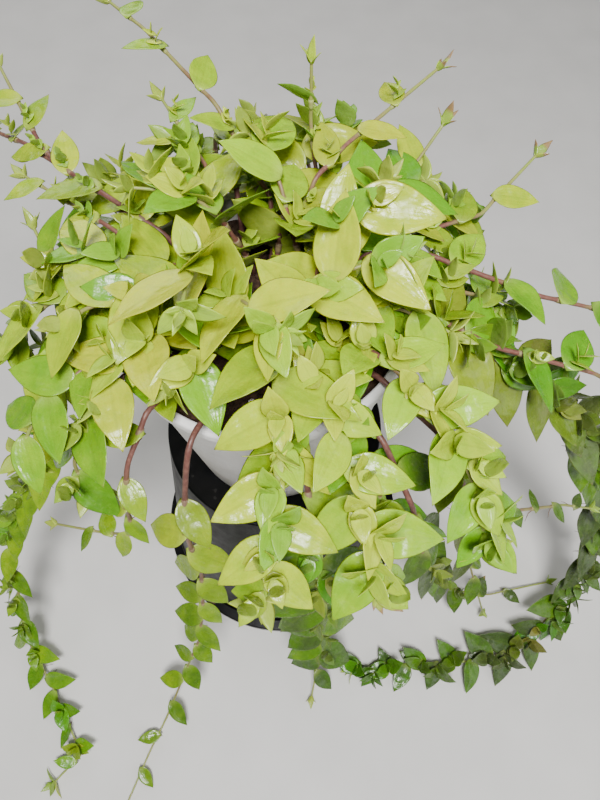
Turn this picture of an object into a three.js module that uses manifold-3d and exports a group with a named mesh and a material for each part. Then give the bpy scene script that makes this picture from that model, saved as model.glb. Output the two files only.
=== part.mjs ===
// A turtle vine in a white plastic pot that stands on an upturned black pot.
// Millimetres, +Z up. The origin is on the floor, on the axis of both pots.

import * as THREE from 'three';
import { mergeVertices } from 'three/addons/utils/BufferGeometryUtils.js';
import Module from 'manifold-3d';

const wasm = await Module();
wasm.setup();

// Driving dimensions: the stand, an upturned pot
const STAND_HEIGHT = 212;
const STAND_TOP_RADIUS = 65;
const STAND_WALL_FOOT_RADIUS = 94;
const STAND_RIM_RADIUS = 102;
const STAND_RIM_HEIGHT = 12;
const STAND_WALL = 2.5;
const STAND_DRAIN_RADIUS = 10;

// Driving dimensions: the white pot
const GAP = 0.3;
const POT_HEIGHT = 125;
const POT_RIM_RADIUS = 65;
const POT_RIM_DEPTH = 6;
const POT_RIM_LEDGE = 2.2;
const POT_BASE_RADIUS = 48.5;
const POT_WALL = 1.8;
const POT_DRAIN_RADIUS = 6;
const ROUND_SIDES = 28;

// Driving dimensions: the soil and the holes that the stems stand in
const SOIL_BELOW_RIM = 12;
const ROOT_DEPTH = 8;
const HOLE_RADIUS = 2.8;
const HOLE_SIDES = 4;
const COLLAR_HEIGHT = 5;

// Driving dimensions: stems. A stem has a ring at each of its first few leaves, and after that
// wherever it has bent by so many degrees or run on so far.
const STEM_RADIUS = 1.65;
const STEM_TIP_RADIUS = 1.35;
const STEM_SIDES = 4;
const BUD_LENGTH = 9;
const FULL_RINGS = 2;
const RING_BEND = 15;
const RING_SPACING = 60;

// Driving dimensions: leaf blades
const LEAF_THICKNESS = 1.4;
const LEAF_SUNK = 1;
const LEAF_ASPECT = 0.61;
const LEAF_CHANNEL = 0.22;
const LEAF_ARCH = 0.1;

// Half outlines of leaves and of those shorter than SMALL_LEAF: each point is a share of the
// leaf's length and of its half width. LEAF_RIB is where along its length a leaf is thickest.
const LEAF_OUTLINE = [[0.2, 0.6], [0.45, 1], [0.74, 0.64]];
const SMALL_LEAF_OUTLINE = [[0.27, 0.86], [0.62, 0.86]];
const SMALL_LEAF = 24;
const LEAF_RIB = 0.34;

// How a leaf leaves its stem: turned forwards, rolled and lifted, in degrees, each with its stray
const LEAF_TURN = 56;
const LEAF_TURN_STRAY = 9;
const LEAF_ROLL_STRAY = 14;
const LEAF_LIFT = 6;
const LEAF_LIFT_STRAY = 12;
const LEAF_SIZE_STRAY = 0.12;
const LEAF_SPACING_STRAY = 0.14;
const FACE_OUT = 0.5;
const FACE_UP = 0.87;

// Leaves near a stem's tip are young: the last is half grown, up to full size a third of the way back
const YOUNG_SIZE = 0.5;
const YOUNG_STRETCH = 3;

// How the stems of one ring of the mound differ: degrees round the pot, radians of sway along
// the stem, share of reach, and mm of height
const RING_TURN_STRAY = 4;
const RING_SWAY = 0.16;
const RING_REACH_STRAY = 0.07;
const RING_RISE_STRAY = 1.5;

// Stems and leaves are tried again, each time a little looser, until they keep these clearances
const STEM_TRIES = 20;
const STEM_TRY_TURN = 1.5;
const STEM_TRY_RISE = 0.6;
const STEM_CLEARANCE = 0.5;
const ROOT_SPACING = 6.5;
const LEAF_TRIES = 14;
const LEAF_TRY_LOOSENS = 0.22;
const LEAF_TRY_SHRINKS = 0.015;
const LEAF_CLEARANCE = 0.35;
const NARROWEST_FACE = 0.02;

// Heights above the floor
const POT_FOOT_Z = STAND_HEIGHT + GAP;
const RIM_Z = POT_FOOT_Z + POT_HEIGHT;
const SOIL_Z = RIM_Z - SOIL_BELOW_RIM;
const COLLAR_Z = SOIL_Z + COLLAR_HEIGHT;

// Long stems. Each leaves the soil at root and passes through the places in way.
// step is the spacing of its leaves and leaf is their length, both in mm.
const LONG_STEMS = [
  { name: 'runner_back_left', root: [2, 22], step: 22, leaf: 19,
    way: [[4, 38, 351], [-7, 55, 367], [-24, 75, 381], [-43, 95, 388], [-68, 122, 389]] },
  { name: 'runner_back_left_short', root: [-15, 23], step: 18, leaf: 16,
    way: [[-22, 46, 359], [-34, 72, 364], [-46, 88, 367]] },
  { name: 'shoot_back', root: [24, 25], step: 18, leaf: 14,
    way: [[26, 42, 352], [20, 58, 368], [21, 66, 384], [20, 68, 398]] },
  { name: 'runner_back_right', root: [13, 15], step: 19, leaf: 18,
    way: [[18, 30, 364], [28, 42, 375], [43, 60, 374], [58, 76, 377], [73, 84, 384]] },
  { name: 'shoot_right_back', root: [33, 22], step: 18, leaf: 17,
    way: [[52, 42, 345], [62, 50, 354], [70, 56, 366], [75, 62, 375]] },
  { name: 'runner_right_back', root: [36, 13], step: 21, leaf: 19,
    way: [[62, 22, 353], [90, 34, 350], [105, 48, 352], [120, 64, 357]] },
  { name: 'runner_left_back', root: [-20, 10], step: 24, leaf: 23,
    way: [[-44, 20, 362], [-72, 38, 364], [-91, 57, 360], [-116, 81, 352], [-134, 101, 341],
      [-175, 128, 305], [-218, 144, 250], [-252, 148, 190]],
    branch: { after: 3, way: [[-112, 88, 358], [-124, 112, 366]], step: 18, leaf: 16 } },
  { name: 'runner_left', root: [-30, 3], step: 19, leaf: 19,
    way: [[-50, 13, 357], [-69, 26, 358], [-86, 41, 355], [-107, 57, 352]] },
  { name: 'shoot_left', root: [-41, -7], step: 18, leaf: 21,
    way: [[-60, -3, 353], [-79, 4, 351], [-90, 12, 347], [-97, 27, 352]] },
  { name: 'runner_right_upper', root: [22, 2], step: 24, leaf: 25,
    way: [[40, 6, 358], [58, 6, 362], [78, 1, 360], [93, -3, 356], [106, -5, 350], [145, -1, 334],
      [180, 8, 295], [198, 14, 240]] },
  { name: 'runner_right_lower', root: [28, -8], step: 24, leaf: 26,
    way: [[44, -13, 360], [58, -19, 363], [73, -26, 356], [88, -29, 350], [106, -32, 343],
      [122, -34, 336], [141, -31, 328], [170, -26, 292], [188, -22, 240]] },
  { name: 'vine_right_trailing', root: [40, -18], step: 13, leaf: 30,
    way: [[60, -24, 355], [88, -27, 342], [114, -29, 320], [138, -24, 290], [170, -22, 236],
      [207, -25, 168], [234, -40, 95], [240, -68, 42], [221, -95, 12], [182, -121, 6],
      [115, -129, 5], [57, -132, 5]] },
  { name: 'vine_right_red', root: [34, -28], step: 38, leaf: 22,
    way: [[56, -48, 347], [76, -66, 322], [101, -67, 232], [137, -71, 112], [170, -88, 14]],
    branch: { after: 2, way: [[100, -76, 278], [136, -60, 242], [190, -50, 196]], step: 24, leaf: 12 } },
  { name: 'vine_right_low', root: [21, -31], step: 30, bare: 10, leaf: 22,
    way: [[26, -44, 351], [41, -64, 354], [58, -88, 328], [80, -87, 230], [108, -74, 120], [130, -68, 55],
      [155, -72, 16], [205, -72, 5], [232, -62, 5]] },
  { name: 'vine_front', root: [11, -41], step: 24, bare: 12, leaf: 33,
    way: [[16, -66, 352], [19, -92, 338], [23, -104, 296], [27, -106, 200], [29, -113, 90],
      [30, -128, 22], [25, -152, 7]] },
  { name: 'spray_front_01', root: [4, -30], step: 11, bare: 58, leaf: 23,
    way: [[8, -56, 358], [8, -84, 356], [6, -108, 342], [2, -120, 318]] },
  { name: 'spray_front_02', root: [13, -27], step: 11, bare: 4, leaf: 25,
    way: [[22, -54, 361], [32, -82, 358], [40, -106, 342], [44, -117, 316]] },
  { name: 'spray_front_03', root: [25, -20], step: 11, bare: 4, leaf: 25,
    way: [[42, -40, 362], [62, -64, 360], [78, -86, 346], [85, -98, 320]] },
  { name: 'spray_front_left_01', root: [-9, -15], step: 10, bare: 6, leaf: 28,
    way: [[-14, -31, 357], [-22, -44, 362], [-31, -54, 361]] },
  { name: 'spray_front_left_02', root: [-23, -11], step: 10, bare: 6, leaf: 28,
    way: [[-35, -26, 357], [-47, -42, 360], [-58, -57, 354]] },
  { name: 'vine_front_left', root: [-14, -42], step: 25, bare: 70, leaf: 21,
    way: [[-22, -66, 350], [-29, -88, 335], [-34, -99, 232], [-53, -117, 110], [-73, -134, 38],
      [-90, -165, 7], [-107, -202, 5], [-116, -226, 5]] },
  { name: 'vine_left_trailing', root: [-40, -20], step: 15, leaf: 25,
    way: [[-54, -25, 353], [-80, -34, 336], [-102, -37, 285], [-125, -40, 235], [-158, -42, 180],
      [-192, -56, 112], [-205, -84, 55], [-207, -110, 20], [-195, -132, 7], [-179, -154, 5],
      [-157, -178, 5], [-158, -202, 5], [-174, -212, 5]] },
  { name: 'vine_left_thin', root: [-28, -32], step: 22, leaf: 16,
    way: [[-42, -58, 346], [-54, -80, 318], [-62, -80, 262], [-84, -72, 222], [-128, -60, 198]] },
  { name: 'vine_back_left', root: [-10, 31], step: 34, leaf: 28,
    way: [[-11, 42, 354], [-15, 64, 361], [-26, 92, 340], [-34, 112, 270], [-40, 130, 180], [-46, 150, 90],
      [-56, 182, 22], [-76, 212, 6], [-102, 224, 5]] },
  { name: 'vine_back_right', root: [9, 36], step: 34, leaf: 28,
    way: [[7, 64, 361], [16, 94, 342], [30, 112, 262], [44, 126, 165], [56, 142, 80],
      [74, 170, 18], [100, 200, 6], [118, 222, 5]] },
  { name: 'vine_hanging_left', root: [-42, 24], step: 25, leaf: 27,
    way: [[-54, 32, 351], [-86, 62, 328], [-100, 82, 270], [-108, 92, 205]] },
  { name: 'vine_hanging_right', root: [44, 26], step: 26, leaf: 27,
    way: [[56, 36, 352], [88, 56, 328], [104, 66, 270], [112, 70, 200], [116, 74, 150]] },
];

// Rings of shorter stems that make the mound, each ring one layer. turn is the first stem's
// place round the pot and swirl the turn of its route at each place, in degrees. reach holds
// each place's distance from the axis and height above the pot's rim, in mm.
const MOUND_RINGS = [
  { name: 'mound_low', count: 10, turn: 10, swirl: 0, rootRadius: 47, seed: 15, step: 16,
    bare: 18, leaf: 26, reach: [[59, 9], [80, 5], [96, -12], [102, -40]] },
  { name: 'mound_middle', count: 10, turn: 30, swirl: 0, rootRadius: 34, seed: 2, step: 11,
    bare: 6, leaf: 26, reach: [[48, 14], [70, 17], [92, 10], [108, -8]] },
  { name: 'mound_top', fullCircle: true, count: 7, turn: 26, swirl: 0, rootRadius: 16, seed: 14, step: 12,
    bare: 6, leaf: 29, reach: [[26, 16], [44, 25], [64, 28], [80, 22]] },
  { name: 'mound_crown', fullCircle: true, count: 6, turn: 40, swirl: 14, rootRadius: 24, seed: 4, step: 11,
    bare: 12, leaf: 28, reach: [[22, 14], [24, 30], [34, 41], [50, 45]] },
];

// The stretch of the rim where the pot shows between the stems, in degrees round the pot
const BARE_FROM = -128;
const BARE_TO = -76;

// A repeatable stream of random numbers from 0 to 1
function randomStream(seed) {
  const modulus = 4294967296;
  let state = (seed * 7919 + 104729) % modulus;
  const next = () => {
    state = (state * 1664525 + 1013904223) % modulus;
    return state / modulus;
  };
  next();
  next();
  return next;
}

// A random amount between minus and plus size
function jitter(random, size) {
  return (random() * 2 - 1) * size;
}

// A closed three.js geometry as a solid for joining and cutting
function toSolid(geometry) {
  const bare = geometry.clone();
  bare.deleteAttribute('normal');
  bare.deleteAttribute('uv');
  const merged = mergeVertices(bare, 1e-4);
  return new wasm.Manifold(new wasm.Mesh({
    numProp: 3,
    vertProperties: new Float32Array(merged.attributes.position.array),
    triVerts: new Uint32Array(merged.index.array),
  }));
}

// A solid back as a three.js geometry
function toGeometry(solid) {
  const mesh = solid.getMesh();
  const geometry = new THREE.BufferGeometry();
  geometry.setAttribute('position', new THREE.BufferAttribute(new Float32Array(mesh.vertProperties), 3));
  geometry.setIndex(new THREE.BufferAttribute(new Uint32Array(mesh.triVerts), 1));
  geometry.computeVertexNormals();
  return geometry;
}

// A geometry from a list of points and a list of triangles
function facetedGeometry(points, triangles) {
  const geometry = new THREE.BufferGeometry();
  geometry.setAttribute('position', new THREE.Float32BufferAttribute(points.flatMap((p) => p.toArray()), 3));
  geometry.setIndex(triangles.flat());
  return geometry;
}

// A ring-shaped solid turned about the upright axis from a closed profile of [radius, height]
function turned(profile) {
  const loop = [...profile, profile[0]].map(([radius, height]) => new THREE.Vector2(radius, height));
  const geometry = new THREE.LatheGeometry(loop, ROUND_SIDES);
  geometry.rotateX(Math.PI / 2);
  return toSolid(geometry);
}

// Materials
function whitePlastic() {
  return new THREE.MeshStandardMaterial({ color: 0xe9e6e2, roughness: 0.45, metalness: 0 });
}

function blackPlastic() {
  return new THREE.MeshStandardMaterial({ color: 0x18181a, roughness: 0.32, metalness: 0 });
}

function pottingSoil() {
  return new THREE.MeshStandardMaterial({ color: 0x3a2a1e, roughness: 0.95, metalness: 0 });
}

function leafGreen() {
  return new THREE.MeshStandardMaterial({ color: 0xb4c25c, roughness: 0.42, metalness: 0 });
}

// The stand: a tapered shell with its own rim at the floor, open below
function makeStand() {
  const wallTopInside = STAND_TOP_RADIUS - STAND_WALL;
  const rimInside = STAND_RIM_RADIUS - STAND_WALL * 1.4;
  const profile = [
    [STAND_DRAIN_RADIUS, STAND_HEIGHT],
    [STAND_DRAIN_RADIUS, STAND_HEIGHT - STAND_WALL],
    [wallTopInside, STAND_HEIGHT - STAND_WALL],
    [STAND_WALL_FOOT_RADIUS - STAND_WALL, STAND_RIM_HEIGHT - STAND_WALL],
    [rimInside, STAND_RIM_HEIGHT - STAND_WALL],
    [rimInside, 0],
    [STAND_RIM_RADIUS, 0],
    [STAND_RIM_RADIUS, STAND_RIM_HEIGHT],
    [STAND_WALL_FOOT_RADIUS, STAND_RIM_HEIGHT],
    [STAND_TOP_RADIUS, STAND_HEIGHT],
  ];
  return turned(profile);
}

// How far the white pot's outer wall stands from the axis at a height above its foot
function potWallRadius(height) {
  const top = POT_RIM_RADIUS - POT_RIM_LEDGE;
  return POT_BASE_RADIUS + (top - POT_BASE_RADIUS) * height / POT_HEIGHT;
}

// The white pot: a tapered shell with a thick rim and a drain hole
function makePot() {
  const floorTop = POT_WALL;
  const profile = [
    [POT_DRAIN_RADIUS, 0],
    [POT_DRAIN_RADIUS, floorTop],
    [potWallRadius(floorTop) - POT_WALL, floorTop],
    [potWallRadius(POT_HEIGHT) - POT_WALL, POT_HEIGHT],
    [POT_RIM_RADIUS, POT_HEIGHT],
    [POT_RIM_RADIUS, POT_HEIGHT - POT_RIM_DEPTH],
    [potWallRadius(POT_HEIGHT - POT_RIM_DEPTH), POT_HEIGHT - POT_RIM_DEPTH],
    [POT_BASE_RADIUS, 0],
  ];
  return turned(profile.map(([radius, height]) => [radius, height + POT_FOOT_Z])
    .reverse());
}

// The soil: fills the pot to just under its rim, with a plain hole for each root
function makeSoil(roots) {
  const low = POT_WALL + GAP;
  const high = SOIL_Z - POT_FOOT_Z;
  const profile = [
    new THREE.Vector2(0, POT_FOOT_Z + low),
    new THREE.Vector2(potWallRadius(low) - POT_WALL - GAP, POT_FOOT_Z + low),
    new THREE.Vector2(potWallRadius(high) - POT_WALL - GAP, SOIL_Z),
    new THREE.Vector2(0, SOIL_Z),
  ];
  const geometry = new THREE.LatheGeometry(profile, ROUND_SIDES);
  geometry.rotateX(Math.PI / 2);
  const holeDepth = ROOT_DEPTH + GAP;
  return roots.reduce((soil, [x, y]) => {
    const hole = new THREE.CylinderGeometry(HOLE_RADIUS, HOLE_RADIUS, holeDepth * 2, HOLE_SIDES);
    hole.rotateX(Math.PI / 2);
    hole.translate(x, y, SOIL_Z);
    return soil.subtract(toSolid(hole));
  }, toSolid(geometry));
}

// The route of a long stem, from its collar above the soil
function longRoute({ root, way }) {
  return [[...root, COLLAR_Z], ...way].map((place) => new THREE.Vector3(...place));
}

// One stem of a ring of the mound on a given try: the later the try, the further it may turn
function ringStem(ring, index, attempt) {
  const random = randomStream(ring.seed * 1000 + index * 20 + attempt);
  const stray = RING_TURN_STRAY + attempt * STEM_TRY_TURN;
  const degrees = ring.turn + (index * 360) / ring.count + jitter(random, stray);
  const sway = jitter(random, RING_SWAY);
  const stretch = 1 + jitter(random, RING_REACH_STRAY);
  const rise = jitter(random, RING_RISE_STRAY) + attempt * STEM_TRY_RISE;
  const angle = THREE.MathUtils.degToRad(degrees);
  const root = [ring.rootRadius * Math.cos(angle), ring.rootRadius * Math.sin(angle)];
  const way = ring.reach.map(([radius, height], at) => {
    const swirl = THREE.MathUtils.degToRad(ring.swirl * (at + 1));
    const bend = angle + swirl + (sway * at) / ring.reach.length;
    const out = at === 0 ? radius : radius * stretch;
    return [out * Math.cos(bend), out * Math.sin(bend), RIM_Z + height + rise];
  });
  const { step, bare, leaf } = ring;
  const name = `${ring.name}_${String(index + 1).padStart(2, '0')}`;
  return { name, root, way, step, bare, leaf, seed: ring.seed * 100 + index };
}

// Whether a ring's stem would stand where the pot shows between the stems
function leavesPotBare(ring, index) {
  const degrees = ring.turn + (index * 360) / ring.count;
  const facing = THREE.MathUtils.euclideanModulo(degrees + 180, 360) - 180;
  return ring.fullCircle || facing < BARE_FROM || facing > BARE_TO;
}

// The direction that leaves turn their upper face to at a place on a stem: up and outwards
function faceDirection(place, along) {
  const outward = new THREE.Vector3(place.x, place.y, 0);
  outward.normalize();
  const face = outward.multiplyScalar(FACE_OUT).add(new THREE.Vector3(0, 0, FACE_UP));
  face.addScaledVector(along, -face.dot(along));
  return face.normalize();
}

// A stem along its route: rings where it bends, and the places of its leaves between them
function growStem(route, step, firstLeaf, seed) {
  const curve = new THREE.CatmullRomCurve3(route, false, 'catmullrom', 0.5);
  const length = curve.getLength();
  const random = randomStream(seed);
  const leaves = [];
  for (let at = firstLeaf; at < length - step * 0.5; at += step * (1 + jitter(random, LEAF_SPACING_STRAY))) {
    leaves.push(at);
  }
  const bendLimit = THREE.MathUtils.degToRad(RING_BEND);
  const between = leaves.map((at, index) => (index === 0 ? at * 0.5 : (at + leaves[index - 1]) / 2));
  const distances = [0];
  between.forEach((at, index) => {
    const last = distances[distances.length - 1];
    const bend = curve.getTangentAt(last / length).angleTo(curve.getTangentAt(at / length));
    if (index < FULL_RINGS || bend > bendLimit || at - last > RING_SPACING) {
      distances.push(at);
    }
  });
  distances.push(length);
  const rings = distances.map((at) => {
    const share = at / length;
    const place = curve.getPointAt(share);
    const along = curve.getTangentAt(share);
    return { place, along, face: faceDirection(place, along), share, at };
  });
  return { rings, leaves, length };
}

// A closed square tube through a list of rings, carried on from each to the next without twist,
// with a pointed bud at its far end
function tubeSolid(rings, grow = 0) {
  const points = [];
  const triangles = [];
  const face = rings[0].face.clone();
  rings.forEach(({ place, along, share }) => {
    face.addScaledVector(along, -face.dot(along)).normalize();
    const across = face.clone().cross(along);
    const radius = STEM_RADIUS + (STEM_TIP_RADIUS - STEM_RADIUS) * share + grow;
    for (let k = 0; k < STEM_SIDES; k += 1) {
      const angle = ((k + 0.5) * 2 * Math.PI) / STEM_SIDES;
      const spoke = across.clone().multiplyScalar(Math.cos(angle)).addScaledVector(face, Math.sin(angle));
      points.push(place.clone().addScaledVector(spoke, radius));
    }
  });
  for (let ring = 0; ring < rings.length - 1; ring += 1) {
    for (let k = 0; k < STEM_SIDES; k += 1) {
      const a = ring * STEM_SIDES + k;
      const b = ring * STEM_SIDES + ((k + 1) % STEM_SIDES);
      triangles.push([a, b, b + STEM_SIDES], [a, b + STEM_SIDES, a + STEM_SIDES]);
    }
  }
  const last = rings[rings.length - 1];
  const lastRing = (rings.length - 1) * STEM_SIDES;
  const tip = points.length;
  points.push(last.place.clone().addScaledVector(last.along, BUD_LENGTH));
  for (let k = 0; k < STEM_SIDES; k += 1) {
    triangles.push([lastRing + k, lastRing + ((k + 1) % STEM_SIDES), tip]);
    if (k > 0 && k < STEM_SIDES - 1) {
      triangles.push([0, k + 1, k]);
    }
  }
  return toSolid(facetedGeometry(points, triangles));
}

// The place at a distance along a stem, with the directions there
function placeOn(rings, at) {
  const next = rings.findIndex((ring) => ring.at > at);
  const [from, to] = next < 0 ? rings.slice(-2) : [rings[next - 1], rings[next]];
  const root = from.place.clone().lerp(to.place, (at - from.at) / (to.at - from.at));
  const along = to.place.clone().sub(from.place).normalize();
  const face = faceDirection(root, along);
  return { root, along, face, across: face.clone().cross(along) };
}

// How one leaf sits on its stem on a given try: the later the try, the further it may turn
function leafPose(stem, index, attempt) {
  const at = placeOn(stem.rings, stem.leaves[index]);
  const random = randomStream(stem.seed * 977 + index * 31 + attempt * 7);
  const looseness = 1 + attempt * LEAF_TRY_LOOSENS;
  const turn = THREE.MathUtils.degToRad(LEAF_TURN + jitter(random, LEAF_TURN_STRAY * looseness));
  const roll = THREE.MathUtils.degToRad(jitter(random, LEAF_ROLL_STRAY * looseness));
  const lift = THREE.MathUtils.degToRad(LEAF_LIFT + jitter(random, LEAF_LIFT_STRAY * looseness));
  const scale = 1 + jitter(random, LEAF_SIZE_STRAY) - LEAF_TRY_SHRINKS * attempt;
  const fromTip = 1 - stem.leaves[index] / stem.length;
  const youth = Math.min(1, fromTip * YOUNG_STRETCH + YOUNG_SIZE);
  const side = index % 2 === 0 ? 1 : -1;
  const flat = at.along.clone().multiplyScalar(Math.cos(turn))
    .addScaledVector(at.across, side * Math.sin(turn));
  const along = flat.multiplyScalar(Math.cos(lift)).addScaledVector(at.face, Math.sin(lift)).normalize();
  const upper = at.face.clone().addScaledVector(along, -at.face.dot(along)).normalize();
  upper.applyAxisAngle(along, roll);
  return { root: at.root, along, upper, length: stem.leaf * scale * youth };
}

// A closed leaf blade: a channelled, arched plate, thickest along its rib
function leafSolid(pose, grow = 0) {
  const length = pose.length + grow;
  const halfWidth = (pose.length * LEAF_ASPECT) / 2 + grow;
  const halfThickness = LEAF_THICKNESS / 2 + grow;
  const outline = pose.length < SMALL_LEAF ? SMALL_LEAF_OUTLINE : LEAF_OUTLINE;
  const across = pose.upper.clone().cross(pose.along);
  const points = [];
  const addPoint = (ahead, sideways, off) => {
    const bent = off + LEAF_CHANNEL * Math.abs(sideways) - (LEAF_ARCH * ahead * ahead) / length;
    const point = pose.root.clone().addScaledVector(pose.along, ahead);
    points.push(point.addScaledVector(across, sideways).addScaledVector(pose.upper, bent));
    return points.length - 1;
  };
  const base = addPoint(-LEAF_SUNK, 0, 0);
  const tip = addPoint(length, 0, 0);
  const [topRib, underRib] = [1, -1].map((side) => addPoint(LEAF_RIB * length, 0, side * halfThickness));
  const triangles = [];
  [1, -1].forEach((side) => {
    const edge = outline.map(([share, width]) => addPoint(share * length, side * width * halfWidth, 0));
    const chain = [base, ...edge, tip];
    for (let k = 0; k < chain.length - 1; k += 1) {
      const [from, to] = side > 0 ? [chain[k + 1], chain[k]] : [chain[k], chain[k + 1]];
      triangles.push([topRib, from, to], [underRib, to, from]);
    }
  });
  return toSolid(facetedGeometry(points, triangles));
}

// Whether a solid's box comes near another's
function boxesMeet(a, b) {
  return [0, 1, 2].every((axis) => a.min[axis] <= b.max[axis] && b.min[axis] <= a.max[axis]);
}

// Whether a solid cuts into any of a list of boxed solids
function cutsInto(solid, others) {
  const box = solid.boundingBox();
  return others.some((other) => boxesMeet(box, other.box) && !solid.intersect(other.solid).isEmpty());
}

// A solid with its box, for the tests above
function boxed(solid) {
  return { solid, box: solid.boundingBox() };
}

// The stems that make one spray: the main one from the soil and any branch of it
function sprayStems(spray) {
  const seed = 100 + spray.seed * 10;
  const route = longRoute(spray);
  const main = growStem(route, spray.step, spray.bare ?? spray.step, seed);
  const up = new THREE.Vector3(0, 0, 1);
  const foot = new THREE.Vector3(...spray.root, SOIL_Z - ROOT_DEPTH);
  main.rings.unshift({ place: foot, along: up, face: faceDirection(foot, up), share: 0, at: -1 });
  const stems = [{ ...main, leaf: spray.leaf, seed }];
  if (spray.branch) {
    const { after, way, step, leaf } = spray.branch;
    const branchRoute = [route[after], ...way.map((place) => new THREE.Vector3(...place))];
    stems.push({ ...growStem(branchRoute, step, step * 0.5, seed + 5), leaf, seed: seed + 5 });
  }
  return stems;
}

// A spray with its bare stems as solids, ready for its leaves
function startPlant(spray) {
  const stems = sprayStems(spray);
  const tubes = stems.map(({ rings }) => boxed(tubeSolid(rings)));
  const body = tubes.map(({ solid }) => solid).reduce((whole, tube) => whole.add(tube));
  return { name: spray.name, root: spray.root, stems, tubes, blades: [], body };
}

// Whether a spray's stems and root keep clear of the pot and of every stem placed before
function standsClear(plant, placed, fixed) {
  const near = [...fixed, ...placed.flatMap(({ tubes }) => tubes)];
  const [x, y] = plant.root;
  const apart = placed.every(({ root }) => Math.hypot(root[0] - x, root[1] - y) > ROOT_SPACING);
  return apart && plant.stems.every(({ rings }) => !cutsInto(tubeSolid(rings, STEM_CLEARANCE), near));
}

// All the sprays with bare stems: the long ones first, then the mound's, each on its first clear try
function placeStems(fixed) {
  const placed = LONG_STEMS.map((spray, seed) => startPlant({ ...spray, seed }));
  MOUND_RINGS.forEach((ring) => {
    for (let index = 0; index < ring.count; index += 1) {
      for (let attempt = 0; attempt < STEM_TRIES && leavesPotBare(ring, index); attempt += 1) {
        const plant = startPlant(ringStem(ring, index, attempt));
        if (standsClear(plant, placed, fixed)) {
          placed.push(plant);
          break;
        }
      }
    }
  });
  return placed;
}

// Whether a spray has no sliver of a face, and no two corners in one place, where its parts join
function joinsCleanly(body) {
  const { vertProperties, triVerts, numVert, numProp } = body.getMesh();
  const corners = Array.from({ length: numVert }, (_, index) => (
    new THREE.Vector3().fromArray(vertProperties, index * numProp)));
  const places = new Set(corners.map((place) => place.toArray().map((value) => value.toFixed(2)).join()));
  if (places.size < numVert) {
    return false;
  }
  for (let at = 0; at < triVerts.length; at += 3) {
    const face = new THREE.Triangle(...[0, 1, 2].map((next) => corners[triVerts[at + next]]));
    const sides = [face.a.distanceTo(face.b), face.b.distanceTo(face.c), face.c.distanceTo(face.a)];
    const longest = Math.max(...sides);
    if ((2 * face.getArea()) / longest < NARROWEST_FACE) {
      return false;
    }
  }
  return true;
}

// Leaves on every stem, the lowest first, each on the first try that crosses nothing
function addLeaves(plants, fixed) {
  const mostLeaves = Math.max(...plants.flatMap((plant) => plant.stems.map(({ leaves }) => leaves.length)));
  for (let index = 0; index < mostLeaves; index += 1) {
    plants.forEach((plant) => {
      const others = [
        ...fixed,
        ...plants.flatMap((other) => (other === plant ? other.blades : [...other.tubes, ...other.blades])),
      ];
      plant.stems.filter(({ leaves }) => index < leaves.length).forEach((stem) => {
        for (let attempt = 0; attempt < LEAF_TRIES; attempt += 1) {
          const pose = leafPose(stem, index, attempt);
          const grown = leafSolid(pose, LEAF_CLEARANCE);
          const blade = leafSolid(pose);
          const clear = grown.boundingBox().min[2] > 0 && !cutsInto(grown, others);
          const body = clear ? plant.body.add(blade) : plant.body;
          if (clear && joinsCleanly(body)) {
            plant.blades.push(boxed(blade));
            plant.body = body;
            return;
          }
        }
      });
    });
  }
}

// The whole object
const stand = makeStand();
const pot = makePot();
const plants = placeStems([boxed(stand), boxed(pot)]);
const soil = makeSoil(plants.map(({ root }) => root));
addLeaves(plants, [boxed(stand), boxed(pot), boxed(soil)]);
const group = new THREE.Group();

function addPart(name, solid, material) {
  const mesh = new THREE.Mesh(toGeometry(solid), material);
  mesh.name = name;
  group.add(mesh);
}

addPart('stand', stand, blackPlastic());
addPart('pot', pot, whitePlastic());
addPart('soil', soil, pottingSoil());
plants.forEach((plant) => {
  addPart(plant.name, plant.body, leafGreen());
});

export default group;
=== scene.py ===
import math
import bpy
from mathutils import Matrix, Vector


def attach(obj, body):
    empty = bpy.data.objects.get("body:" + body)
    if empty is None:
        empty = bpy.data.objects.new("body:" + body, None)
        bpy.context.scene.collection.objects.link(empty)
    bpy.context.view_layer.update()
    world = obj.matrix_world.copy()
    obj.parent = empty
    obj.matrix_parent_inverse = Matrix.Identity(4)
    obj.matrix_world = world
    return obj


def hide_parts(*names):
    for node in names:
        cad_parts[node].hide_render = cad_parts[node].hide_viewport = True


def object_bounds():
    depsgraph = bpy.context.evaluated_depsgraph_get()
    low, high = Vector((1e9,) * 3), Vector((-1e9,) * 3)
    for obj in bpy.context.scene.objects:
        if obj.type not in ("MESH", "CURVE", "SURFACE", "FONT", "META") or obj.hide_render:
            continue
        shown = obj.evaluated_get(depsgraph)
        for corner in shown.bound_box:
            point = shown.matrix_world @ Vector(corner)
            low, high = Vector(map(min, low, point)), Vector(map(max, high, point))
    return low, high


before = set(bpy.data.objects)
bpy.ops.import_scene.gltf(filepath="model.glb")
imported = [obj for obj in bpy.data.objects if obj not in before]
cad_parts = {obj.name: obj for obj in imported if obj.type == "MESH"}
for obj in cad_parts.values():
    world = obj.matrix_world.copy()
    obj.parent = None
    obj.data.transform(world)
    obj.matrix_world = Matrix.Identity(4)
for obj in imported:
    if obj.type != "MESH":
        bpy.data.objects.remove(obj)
cad_low, cad_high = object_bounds()

# A turtle vine in a white plastic pot that stands on an upturned black pot: the finish of every
# surface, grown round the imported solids. Sizes are in millimetres, as in the part's source, and
# turn to metres where a mesh is made. Stems and leaves follow the source's own rules and seeds,
# so each fine leaf lies where its solid one does. What is too small for the solids is added:
# sheaths, buds, tufts of young leaves, aerial roots, and the crumbs and perlite on the soil.

from types import SimpleNamespace

import bpy
import numpy as np
from mathutils import Vector, noise

MM = 0.001
UP = np.array([0.0, 0.0, 1.0])

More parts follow.
